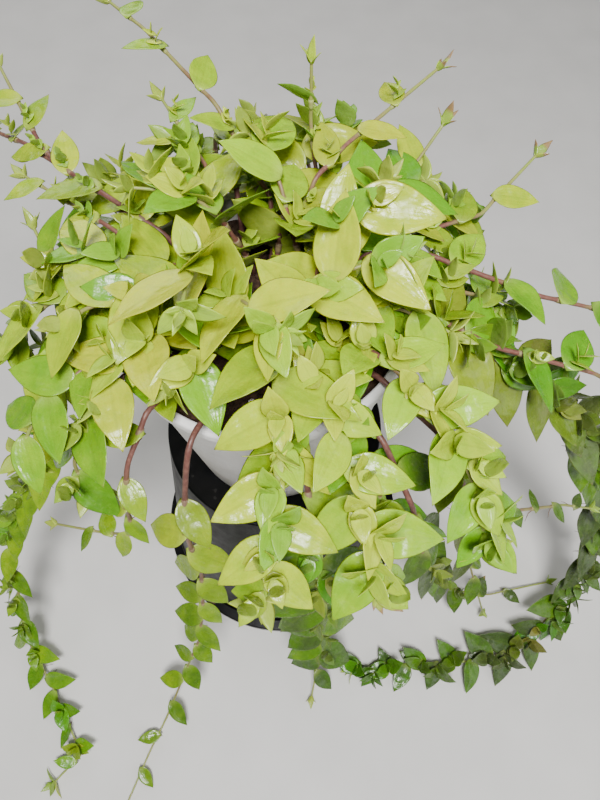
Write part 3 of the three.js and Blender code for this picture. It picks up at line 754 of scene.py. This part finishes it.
def add_sheath(skin, stem, at, seed):
    """The papery sleeve that each leaf's base wraps round the stem."""
    draw = random_stream(seed)
    root, along, _ = place_on(stem, at)
    length = SHEATH_LENGTH * between(draw, 0.85, 1.15)
    shares, proud = np.array(SHEATH_PROFILE).T
    places = [root + along * length * (share - SHEATH_BELOW_JOINT) for share in shares]
    stem_radius = STEM_RADIUS + (STEM_TIP_RADIUS - STEM_RADIUS) * at / stem.length
    loops = circle_loops(places, stem_radius * (1 + NODE_SWELLING) + proud, STEM_SIDES)
    end = places[-1] - along * SHEATH_FOLDED_IN
    skin.add_tube(loops, places[0], end, 2, age=1 - at / stem.length,
                  along=shares[:, None])


def young_pose(root, shoot, spoke, opening, length):
    """How a young leaf sits on its shoot, opened out from it by an angle in degrees."""
    tilt = math.radians(opening)
    ahead = unit(shoot * math.cos(tilt) + spoke * math.sin(tilt))
    upper = unit(shoot * math.sin(tilt) - spoke * math.cos(tilt))
    return SimpleNamespace(root=root, along=ahead, upper=upper, length=length)


def add_bud(skin, stem, seed, tone, dried, rosette):
    """The growing tip: small leaves folded round each other, dried up on some stems, and with
    wider young leaves about them on the leafy ones."""
    draw = random_stream(seed)
    tip = stem.rings[-1].place
    along = stem.last_along
    face = face_direction(tip, along)
    leaves = BUD_LEAVES + ROSETTE_LEAVES if rosette else BUD_LEAVES
    for count, (opening, length, below, aspect) in enumerate(leaves):
        spoke = turned_about(face, along, math.radians(count * BUD_SPIRAL + jitter(draw, 20)))
        pose = young_pose(tip - along * below, along, spoke, opening + jitter(draw, 5), length)
        add_leaf(skin, pose, seed + count, tone, dried, aspect=aspect,
                 thickness=YOUNG_THICKNESS, rows=7, columns=5, clasp=0.0, young=0.9)


def add_tuft(skin, stem, at, side, seed, tone, size, young):
    """A short side shoot in the angle of a leaf: small leaves in two rows, each inside the one
    below it."""
    draw = random_stream(seed)
    root, along, face = place_on(stem, at)
    across = np.cross(face, along) * side
    light = unit(face + UP * abs(along[2]))
    shoot = unit(along * TUFT_AHEAD + across * between(draw, *TUFT_ASIDE)
                 + light * between(draw, *TUFT_TO_LIGHT))
    start = unit(along - shoot * np.dot(shoot, along))
    start = turned_about(start, shoot, math.radians(jitter(draw, TUFT_TURN_STRAY)))
    for count in range(TUFT_LEAVES):
        spoke = turned_about(start, shoot, math.radians(count * 180 + jitter(draw, 10)))
        opening = TUFT_OPENING - TUFT_CLOSING * count + jitter(draw, 5)
        length = stem.leaf * size * (1 - TUFT_SHRINKING * count) * between(draw, *TUFT_SIZES)
        foot = root + shoot * (TUFT_FOOT + TUFT_STEP * count)
        pose = young_pose(foot, shoot, spoke, opening, length)
        add_leaf(skin, pose, seed + count, tone, aspect=TUFT_ASPECT, thickness=YOUNG_THICKNESS,
                 rows=9, columns=7, clasp=TUFT_CLASP,
                 young=young * (0.4 + 0.6 * count / (TUFT_LEAVES - 1)))


def add_aerial_roots(skin, stem, seed):
    """Short wiry roots that grow from the joints of a trailing stem."""
    draw = random_stream(seed)
    for at in stem.leaves:
        place, along, face = place_on(stem, at)
        if place[2] > ROOTS_BELOW or draw() < ROOTS_MISSING:
            continue
        side = np.cross(along, face) * jitter(draw, 1.0)
        ahead = unit(side - face * 0.8 + along * jitter(draw, 0.6))
        length = between(draw, *ROOT_LENGTHS)
        line = [place]
        for _ in range(ROOT_PARTS):
            bend = np.array([jitter(draw, ROOT_BEND), jitter(draw, ROOT_BEND), -ROOT_DROOP])
            ahead = unit(ahead + bend)
            step = line[-1] + ahead * length / ROOT_PARTS
            line.append(np.array([step[0], step[1], max(step[2], ROOT_ABOVE_FLOOR)]))
        loops = circle_loops(line, np.linspace(*ROOT_RADII, len(line)), 5)
        skin.add_tube(loops, line[0], line[-1], 3, age=draw())


def first_fit(table, name, otherwise):
    """What a table says of a stem: its first entry that the stem's name starts with."""
    return next((value for start, value in table.items() if name.startswith(start)), otherwise)


def leaf_tone(name, place, draw):
    """How pale a leaf is, from 0 for deep green in painted shade to 1 for pale in painted light:
    by its height, and by its stem, which is partly its own colour.
    """
    tone = float(np.interp(place[2], TONE_AND_LIGHT_HEIGHTS, TONES_AND_LIGHT)) + first_fit(PALER_AND_LIT, name, 0)
    return min(1.0, max(0.0, tone + jitter(draw, TONE_STRAY)))


def srgb(code):
    """A hex colour as linear red, green, blue and alpha."""
    values = [int(code[i:i + 2], 16) / 255 for i in (1, 3, 5)]
    linear = [v / 12.92 if v <= 0.04045 else ((v + 0.055) / 1.055) ** 2.4 for v in values]
    return (*linear, 1.0)


def add_node(tree, kind, inputs=None, output=0, stops=(), **settings):
    """Add a shader node and give one of its outputs. Each input is a socket to link, a hex
    colour or a number, and stops are a ramp's (number, hex colour) pairs."""
    node = tree.nodes.new(kind)
    for name, value in settings.items():
        setattr(node, name, value)
    for name, value in (inputs or {}).items():
        if isinstance(value, bpy.types.NodeSocket):
            tree.links.new(value, node.inputs[name])
        else:
            node.inputs[name].default_value = srgb(value) if isinstance(value, str) else value
    for _ in stops[2:]:
        node.color_ramp.elements.new(0.5)
    for index, (number, colour) in enumerate(stops):
        node.color_ramp.elements[index].position = number
        node.color_ramp.elements[index].color = srgb(colour)
    return node.outputs[output]


def new_material(name, roughness, ior, *patterns):
    """A material with the finish that is the same all over, and noise patterns to build on it,
    each as (width, detail, harshness). Gives the material, its tree, its shader and those."""
    material = bpy.data.materials.new(name)
    material.use_nodes = True
    tree = material.node_tree
    shader = tree.nodes["Principled BSDF"]
    shader.inputs["Roughness"].default_value = roughness
    shader.inputs["IOR"].default_value = ior
    shader.inputs["Metallic"].default_value = 0.0
    place = add_node(tree, "ShaderNodeTexCoord", output="Object")
    noises = [add_node(tree, "ShaderNodeTexNoise",
                       {"Vector": place, "Scale": 1 / (width * MM), "Detail": detail,
                        "Roughness": harshness})
              for width, detail, harshness in patterns]
    return material, tree, shader, noises


def uneven_shade(tree, mark, patch, spread):
    """The number that a mark gives, made uneven by up to a spread where a pattern is patchy."""
    uneven = add_node(tree, "ShaderNodeMapRange",
                      {"Value": patch, "From Min": 0.3, "From Max": 0.7, "To Min": -spread,
                       "To Max": spread})
    return add_node(tree, "ShaderNodeMath", {0: mark, 1: uneven}, operation="ADD")


def overlaid(tree, colour, *layers):
    """A colour with others laid over it. Each layer is the number that it follows, where that
    starts it and fills it, how strong it gets, and its colour."""
    for value, start, full, most, over in layers:
        amount = add_node(tree, "ShaderNodeMapRange",
                          {"Value": value, "From Min": start, "From Max": full, "To Max": most})
        colour = add_node(tree, "ShaderNodeMix", {0: amount, 6: colour, 7: over}, output=2,
                          data_type="RGBA")
    return colour


def lay_surface(tree, shader, colour, relief, depth, wear=None):
    """Give a shader its colour, a relief of some depth, and any wear: the number that it
    follows, from where to where, and how rough it leaves the surface at each end."""
    tree.links.new(colour, shader.inputs["Base Color"])
    bump = add_node(tree, "ShaderNodeBump", {"Height": relief, "Distance": depth * MM})
    tree.links.new(bump, shader.inputs["Normal"])
    if wear:
        value, start, end, smooth, rough = wear
        rough = add_node(tree, "ShaderNodeMapRange",
                         {"Value": value, "From Min": start, "From Max": end,
                          "To Min": smooth, "To Max": rough})
        tree.links.new(rough, shader.inputs["Roughness"])


def make_waxy_leaf():
    """Living leaf with a waxy skin: yellow-green on the higher leaves and deeper green below,
    partly the leaves' own colour and partly painted light and painted shade, with some fresh lime
    leaves among them, a thin brown edge and soft wet-looking highlights. Its cells are drawn ten
    times as wide as real ones, which are too fine to show."""
    material, tree, shader, (blotch, fleck, wax, cells, swell) = new_material(
        "waxy_leaf", 0.36, 1.45,
        (8, 3.0, 0.5), (1.1, 3.0, 0.5), (5, 3.0, 0.5), (1.6, 3.0, 0.5), (7, 1.0, 0.5))
    tone, fresh, young, along, across, under, dry = (
        add_node(tree, "ShaderNodeAttribute", output="Fac", attribute_name=name)
        for name in Skin.MARKS)
    # Painted light and shade: the green ramp runs from deep green, painted shade low in the
    # plant, to pale, painted light on the top leaves
    shade = uneven_shade(tree, tone, blotch, 0.1)
    green = add_node(tree, "ShaderNodeValToRGB", {"Fac": shade}, stops=[
        (0.0, "#3a4727"), (0.15, "#425627"), (0.3, "#486c12"), (0.55, "#6f920c"),
        (0.78, "#95ad10"), (1.0, "#b4c31e")])
    lime = add_node(tree, "ShaderNodeValToRGB", {"Fac": shade}, stops=[
        (0.0, "#245006"), (0.45, "#489006"), (1.0, "#7dbb0c")])
    from_rib = add_node(tree, "ShaderNodeMath", {0: across}, operation="ABSOLUTE")
    veins = add_node(tree, "ShaderNodeMath", {0: from_rib, 1: 24.0}, operation="MULTIPLY")
    veins = add_node(tree, "ShaderNodeMath", {0: veins}, operation="SINE")
    colour = overlaid(
        tree, green,
        # Fresh leaves, the deepest green among them, and yellowed ones
        (fresh, 0.5, 0.95, 0.85, lime),
        (fresh, 0.86, 1.0, 0.75, "#3b8206"),
        (fresh, 0.22, 0.0, 0.3, "#a8952c"),
        (young, 0.0, 1.0, 0.42, "#b4cb4c"),
        # Flecks, veins, the rib and the pale foot of the blade
        (fleck, 0.6, 0.75, 0.1, "#cfd480"),
        (veins, 0.4, 1.0, 0.04, "#4f6a1c"),
        (from_rib, 0.1, 0.0, 0.2, "#5f7824"),
        (along, 0.2, 0.0, 0.35, "#b3bd62"),
        # The brown edge and tip, the duller underside and what has dried
        (from_rib, 0.94, 1.0, 0.3, "#7d5a3c"),
        (along, 0.93, 1.0, 0.5, "#7d5a3c"),
        (under, 0.0, 1.0, 0.5, "#7f8f48"),
        (dry, 0.0, 1.0, 1.0, "#8f7350"))
    relief = add_node(tree, "ShaderNodeMath", {0: veins, 1: 0.01, 2: swell},
                      operation="MULTIPLY_ADD")
    relief = add_node(tree, "ShaderNodeMath", {0: cells, 1: 0.12, 2: relief},
                      operation="MULTIPLY_ADD")
    lay_surface(tree, shader, colour, relief, 1.2, wear=(wax, 0.3, 0.7, 0.17, 0.36))
    shader.inputs["Subsurface Weight"].default_value = 0.15
    shader.inputs["Subsurface Radius"].default_value = (0.6, 1.0, 0.15)
    shader.inputs["Subsurface Scale"].default_value = 1.5 * MM
    return material


def make_fleshy_stem():
    """Fleshy creeping stem: green and smooth at the growing end, purple-brown and streaked
    where it is old."""
    material, tree, shader, (patch, streak) = new_material(
        "fleshy_stem", 0.42, 1.45, (12, 3.0, 0.5), (1.4, 4.0, 0.5))
    age = add_node(tree, "ShaderNodeAttribute", output="Fac", attribute_name="age")
    shade = uneven_shade(tree, age, patch, 0.2)
    colour = add_node(tree, "ShaderNodeValToRGB", {"Fac": shade}, stops=[
        (0.0, "#8d9f44"), (0.3, "#868149"), (0.55, "#754a40"), (1.0, "#5c3a35")])
    colour = overlaid(tree, colour, (streak, 0.45, 0.7, 0.4, "#98705e"))
    lay_surface(tree, shader, colour, streak, 0.1)
    return material


def make_papery_sheath():
    """Papery leaf sheath: thin, pale and ribbed, and browner on old joints."""
    material, tree, shader, (patch, ribs) = new_material(
        "papery_sheath", 0.6, 1.45, (3, 3.0, 0.5), (0.6, 3.0, 0.5))
    age = add_node(tree, "ShaderNodeAttribute", output="Fac", attribute_name="age")
    shade = uneven_shade(tree, age, patch, 0.2)
    colour = add_node(tree, "ShaderNodeValToRGB", {"Fac": shade}, stops=[
        (0.0, "#9dac58"), (0.5, "#8d7f55"), (1.0, "#6f5447")])
    lay_surface(tree, shader, colour, ribs, 0.08)
    return material


def make_mottled(name, roughness, ior, stops, mottling, grain, depth):
    """A dull natural finish: a pattern mottled between some colours, and one in relief."""
    material, tree, shader, noises = new_material(name, roughness, ior, mottling, grain)
    colour = add_node(tree, "ShaderNodeValToRGB", {"Fac": noises[0]}, stops=stops)
    lay_surface(tree, shader, colour, noises[1], depth)
    return material


def make_aerial_root():
    """Wiry aerial root: dry, brown and dull, finely wrinkled."""
    return make_mottled("aerial_root", 0.75, 1.45, [(0.3, "#5f4232"), (0.7, "#86664d")],
                        mottling=(1, 3.0, 0.5), grain=(1, 3.0, 0.5), depth=0.08)


def make_damp_peat():
    """Damp peat mix: nearly black-brown crumbs with lighter fibres, fully matt."""
    browns = [(0.3, "#20150e"), (0.5, "#3a281b"), (0.68, "#5b4331"), (0.8, "#7c624a")]
    return make_mottled("damp_peat", 0.92, 1.4, browns,
                        mottling=(2.2, 6.0, 0.7), grain=(1.2, 6.0, 0.7), depth=0.8)


def make_perlite():
    """Perlite: chalky white puffed grains, pitted and a little dirty."""
    return make_mottled("perlite", 0.85, 1.5, [(0.3, "#b7ab98"), (0.6, "#e4dfd3")],
                        mottling=(1, 3.0, 0.5), grain=(0.5, 3.0, 0.5), depth=0.2)


def make_pale_floor():
    """Plain pale floor with a faint unevenness."""
    material, tree, shader, (cloud,) = new_material("pale_floor", 0.6, 1.45, (60, 3.0, 0.5))
    colour = add_node(tree, "ShaderNodeValToRGB", {"Fac": cloud}, stops=[
        (0.3, "#cfcdc9"), (0.7, "#d6d4d0")])
    tree.links.new(colour, shader.inputs["Base Color"])
    return material


def make_white_polypropylene():
    """Moulded white polypropylene: an eggshell gloss, handled, with splashed soil marks and a
    brownish clouding that is darker towards the foot of the wall. Its moulded grain is drawn
    coarser than the real one, which is too fine to show."""
    material, tree, shader, (cloud, splash, worn, grain) = new_material(
        "moulded_white_polypropylene", 0.38, 1.49,
        (26, 5.0, 0.5), (3.2, 2.0, 0.5), (14, 4.0, 0.5), (1.5, 3.0, 0.5))
    place = add_node(tree, "ShaderNodeTexCoord", output="Object")
    height = add_node(tree, "ShaderNodeSeparateXYZ", {"Vector": place}, output="Z")
    low_down = add_node(tree, "ShaderNodeMapRange",
                        {"Value": height, "From Min": POT_FOOT_Z * MM,
                         "From Max": RIM_Z * MM, "To Min": 0.6, "To Max": 0.1})
    # A brownish clouding that is darker towards the foot of the wall, and splashed soil marks
    colour = overlaid(tree, "#e4e1df",
                      (cloud, 0.42, 0.72, low_down, "#b3a894"),
                      (splash, 0.68, 0.75, 0.45, "#8c7a63"))
    lay_surface(tree, shader, colour, grain, 0.04, wear=(worn, 0.35, 0.7, 0.32, 0.55))
    return material


def make_black_polypropylene():
    """Moulded black polypropylene: nearly black and glossy, with fine scuffs, a little dust
    and dried water spots. Its grain too is drawn coarser than the real one."""
    material, tree, shader, (dust, spot, scuffs, grain) = new_material(
        "moulded_black_polypropylene", 0.34, 1.49,
        (30, 6.0, 0.5), (4.5, 1.0, 0.5), (9, 6.0, 0.7), (0.8, 3.0, 0.5))
    colour = overlaid(tree, "#040405",
                      (dust, 0.45, 0.75, 0.12, "#2a2826"),
                      (spot, 0.7, 0.74, 0.15, "#5c5955"))
    lay_surface(tree, shader, colour, grain, 0.03, wear=(scuffs, 0.35, 0.7, 0.32, 0.5))
    shader.inputs["Specular IOR Level"].default_value = 0.15
    return material


def rounded(profile, radius, steps=4):
    """A closed outline with each corner rounded, as points of (radius, height)."""
    points = []
    count = len(profile)
    for index, corner in enumerate(profile):
        corner = np.array(corner, float)
        before = np.array(profile[index - 1], float)
        after = np.array(profile[(index + 1) % count], float)
        back = before - corner
        ahead = after - corner
        room = min(radius, np.linalg.norm(back) * 0.45, np.linalg.norm(ahead) * 0.45)
        start = corner + unit(back) * room
        end = corner + unit(ahead) * room
        for step in range(steps + 1):
            t = step / steps
            points.append(start * (1 - t) ** 2 + corner * 2 * t * (1 - t) + end * t * t)
    return points


def add_turned_piece(name, profile, material, node, sides=160):
    """A ring-shaped piece turned about the upright axis from a closed outline."""
    count = len(profile)
    points = []
    faces = []
    for side in range(sides):
        angle = side * 2 * math.pi / sides
        for radius, height in profile:
            points.append((radius * math.cos(angle) * MM, radius * math.sin(angle) * MM,
                           height * MM))
        beside = (side + 1) % sides
        for at in range(count):
            a = side * count + at
            b = side * count + (at + 1) % count
            faces.append((a, beside * count + at, beside * count + (at + 1) % count, b))
    add_piece(name, points, faces, [material], [node])


def pot_wall_radius(height):
    """How far the white pot's outer wall stands from the axis at a height above its foot."""
    top = POT_RIM_RADIUS - POT_RIM_LEDGE
    return POT_BASE_RADIUS + (top - POT_BASE_RADIUS) * height / POT_HEIGHT


def make_pot():
    """The white pot, with a soft lip and rounded edges."""
    rim_foot = POT_HEIGHT - POT_RIM_DEPTH
    profile = [
        (POT_DRAIN_RADIUS, 0),
        (POT_BASE_RADIUS, 0),
        (pot_wall_radius(rim_foot), rim_foot),
        (POT_RIM_RADIUS, rim_foot),
        (POT_RIM_RADIUS, POT_HEIGHT),
        (pot_wall_radius(POT_HEIGHT) - POT_WALL, POT_HEIGHT),
        (pot_wall_radius(POT_WALL) - POT_WALL, POT_WALL),
        (POT_DRAIN_RADIUS, POT_WALL),
    ]
    raised = [(radius, height + POT_FOOT_Z) for radius, height in profile]
    add_turned_piece("white_pot", rounded(raised, POT_EDGE), make_white_polypropylene(),
                     "pot")


def make_stand():
    """The upturned black pot: its rim at the floor, with a bead above it."""
    slope = (STAND_WALL_FOOT_RADIUS - STAND_TOP_RADIUS) / (STAND_HEIGHT - STAND_RIM_HEIGHT)
    bead_foot = STAND_RIM_HEIGHT + STAND_BEAD_ABOVE_RIM
    bead_top = bead_foot + STAND_BEAD_HEIGHT
    rim_inside = STAND_RIM_RADIUS - STAND_RIM_WALL

    def wall(height):
        return STAND_WALL_FOOT_RADIUS - slope * (height - STAND_RIM_HEIGHT)

    profile = [
        (rim_inside, 0),
        (STAND_RIM_RADIUS, 0),
        (STAND_RIM_RADIUS, STAND_RIM_HEIGHT),
        (STAND_WALL_FOOT_RADIUS, STAND_RIM_HEIGHT),
        (wall(bead_foot), bead_foot),
        (wall(bead_foot + 1) + STAND_BEAD_DEPTH, bead_foot + 1),
        (wall(bead_top - 1) + STAND_BEAD_DEPTH, bead_top - 1),
        (wall(bead_top), bead_top),
        (STAND_TOP_RADIUS, STAND_HEIGHT),
        (STAND_DRAIN_RADIUS, STAND_HEIGHT),
        (STAND_DRAIN_RADIUS, STAND_HEIGHT - STAND_WALL),
        (STAND_TOP_RADIUS - STAND_WALL, STAND_HEIGHT - STAND_WALL),
        (STAND_WALL_FOOT_RADIUS - STAND_WALL, STAND_RIM_HEIGHT - STAND_WALL),
        (rim_inside, STAND_RIM_HEIGHT - STAND_WALL),
    ]
    add_turned_piece("black_stand", rounded(profile, STAND_EDGE), make_black_polypropylene(),
                     "stand")


def soil_height(x, y, roots):
    """The height of the soil's crumbly top, heaped a little round each stem."""
    height = SOIL_Z - SOIL_SUNK
    for width, rise, offset in SOIL_LUMPS:
        height += rise * noise.noise(Vector((x, y, offset)) / width)
    nearest = min(math.hypot(x - root[0], y - root[1]) for root in roots)
    return height + SOIL_HEAP * math.exp(-((nearest / SOIL_HEAP_WIDTH) ** 2))


def add_clod(skin, place, size, seed, finish):
    """A crumb of soil or a grain of perlite: a small uneven lump."""
    draw = random_stream(seed)
    loops = []
    for polar in CLOD_BANDS:
        ring = []
        for side in range(CLOD_SIDES):
            turn = side * 2 * math.pi / CLOD_SIDES + polar
            radius = size * (1 + jitter(draw, CLOD_UNEVEN))
            spoke = np.array([math.sin(polar) * math.cos(turn),
                              math.sin(polar) * math.sin(turn),
                              -math.cos(polar) * CLOD_SQUAT])
            ring.append(place + radius * spoke)
        loops.append(ring)
    rise = UP * size * CLOD_SQUAT
    skin.add_tube(loops, place - rise, place + rise, finish)


def make_soil(roots):
    """The soil: a crumbly top with clods and perlite, and a plain body inside the pot."""
    low = POT_WALL + GAP
    foot_z = POT_FOOT_Z + low
    foot_radius = pot_wall_radius(low) - POT_WALL - GAP
    top_radius = pot_wall_radius(SOIL_Z - POT_FOOT_Z) - POT_WALL - GAP
    angles = np.arange(SOIL_SIDES) * 2 * math.pi / SOIL_SIDES
    loops = []
    for radius, height in ((foot_radius, foot_z), (top_radius, SOIL_Z - SOIL_EDGE_DEPTH)):
        loops.append([(radius * math.cos(a), radius * math.sin(a), height) for a in angles])
    for radius in np.linspace(top_radius, 0.8, SOIL_RINGS):
        ring = []
        for angle in angles:
            x, y = radius * math.cos(angle), radius * math.sin(angle)
            ring.append((x, y, soil_height(x, y, roots)))
        loops.append(ring)
    skin = Skin()
    skin.add_tube(loops, (0, 0, foot_z), (0, 0, soil_height(0, 0, roots)), 0)
    draw = random_stream(CLOD_SEED)
    for count in range(CLODS):
        radius = (top_radius - CLODS_FROM_WALL) * math.sqrt(draw())
        angle = draw() * 2 * math.pi
        x, y = radius * math.cos(angle), radius * math.sin(angle)
        white = count % PERLITE_EVERY == 0
        share = draw() if white else draw() ** 2
        least, most = PERLITE_SIZES if white else CLOD_SIZES
        size = least + (most - least) * share
        place = np.array([x, y, soil_height(x, y, roots) + size * CLOD_RAISED])
        add_clod(skin, place, size, CLOD_FIRST_SEED + count, 1 if white else 0)
    skin.build("peat_soil", [make_damp_peat(), make_perlite()], "potting_soil", "soil")


def grow_on_stem(skin, stem, name, points, seed):
    """Everything that one stem carries, and the stem itself."""
    draw = random_stream(seed)
    add_stem(skin, stem, seed + SEEDS["stem"])
    for index, pose in grown_leaves(stem, points):
        # Each leaf's tone paints light on it higher up and shade on it lower down, on top of its
        # own colour
        tone = leaf_tone(name, pose.root, draw)
        dried = DRIED_SHARE * draw() if draw() < DRIED_OFTEN else 0.0
        add_leaf(skin, pose, seed + SEEDS["leaf"] + index, tone, dried)
    for index, at in enumerate(stem.leaves):
        add_sheath(skin, stem, at, seed + SEEDS["sheath"] + index)
    rosette = name.startswith(LEAFY_TIPS)
    share = DRIED_ROSETTE_SHARE if rosette else DRIED_BUD_SHARE
    dried = share if name in DRIED_TIPS else 0.0
    add_bud(skin, stem, seed + SEEDS["bud"], between(draw, *BUD_TONES), dried, rosette)
    often, size, young = first_fit(TUFTS, name, (0, 0, 0))
    for index, at in enumerate(stem.leaves):
        if draw() < often:
            tone = leaf_tone(name, place_on(stem, at)[0], draw)
            side = 1 if index % 2 == 0 else -1
            tuft_seed = seed + SEEDS["tuft"] + index * TUFT_RUN
            add_tuft(skin, stem, at, side, tuft_seed, tone, size, young)
    add_aerial_roots(skin, stem, seed + SEEDS["roots"])


def make_plant(sprays):
    """Every spray as one living piece: its stems with their leaves, sheaths, tips, tufts of
    young leaves and aerial roots."""
    finishes = [make_waxy_leaf(), make_fleshy_stem(), make_papery_sheath(),
                make_aerial_root()]
    for number, spray in enumerate(sprays):
        name = spray["name"]
        points = solid_points(name)
        skin = Skin()
        for branch, stem in enumerate(spray_stems(spray)):
            seed = FIRST_SEED + number * STEM_RUN + branch * BRANCH_RUN
            grow_on_stem(skin, stem, name, points, seed)
        skin.build(f"{name}_living", finishes, "foliage", name)


def make_floor():
    """The plain pale floor that the stand rests on."""
    half = FLOOR_HALF
    corners = [(-half, -half, 0), (half, -half, 0), (half, half, 0), (-half, half, 0)]
    mesh = bpy.data.meshes.new("floor")
    mesh.from_pydata(corners, [], [(0, 1, 2, 3)])
    mesh.materials.append(make_pale_floor())
    floor = bpy.data.objects.new("floor", mesh)
    bpy.context.scene.collection.objects.link(floor)


def make_light():
    """Plain soft studio light: a large key from above the camera, a fill and a pale room."""
    for name, (place, size, watts) in LIGHTS.items():
        light = bpy.data.lights.new(name, "AREA")
        light.shape = "SQUARE"
        light.size = size
        light.energy = watts
        lamp = bpy.data.objects.new(name, light)
        lamp.location = place
        to_target = Vector(LIGHT_TARGET) - Vector(place)
        lamp.rotation_euler = to_target.to_track_quat("-Z", "Y").to_euler()
        bpy.context.scene.collection.objects.link(lamp)
    world = bpy.data.worlds.new("pale_room")
    world.use_nodes = True
    background = world.node_tree.nodes["Background"]
    background.inputs["Color"].default_value = srgb("#e6e8ea")
    background.inputs["Strength"].default_value = ROOM_BRIGHTNESS
    bpy.context.scene.world = world


def make_camera():
    """The camera above the front of the plant, looking steeply down."""
    data = bpy.data.cameras.new("camera")
    data.lens = CAMERA_LENS
    data.sensor_width = CAMERA_SENSOR
    data.clip_start = CAMERA_NEAREST
    camera = bpy.data.objects.new("camera", data)
    camera.location = CAMERA_PLACE
    camera.rotation_euler = (math.radians(CAMERA_FROM_DOWN), 0, 0)
    bpy.context.scene.collection.objects.link(camera)
    bpy.context.scene.camera = camera


make_camera()
make_light()
make_floor()
make_stand()
make_pot()
plant = all_sprays()
make_soil([spray["root"] for spray in plant])
make_plant(plant)
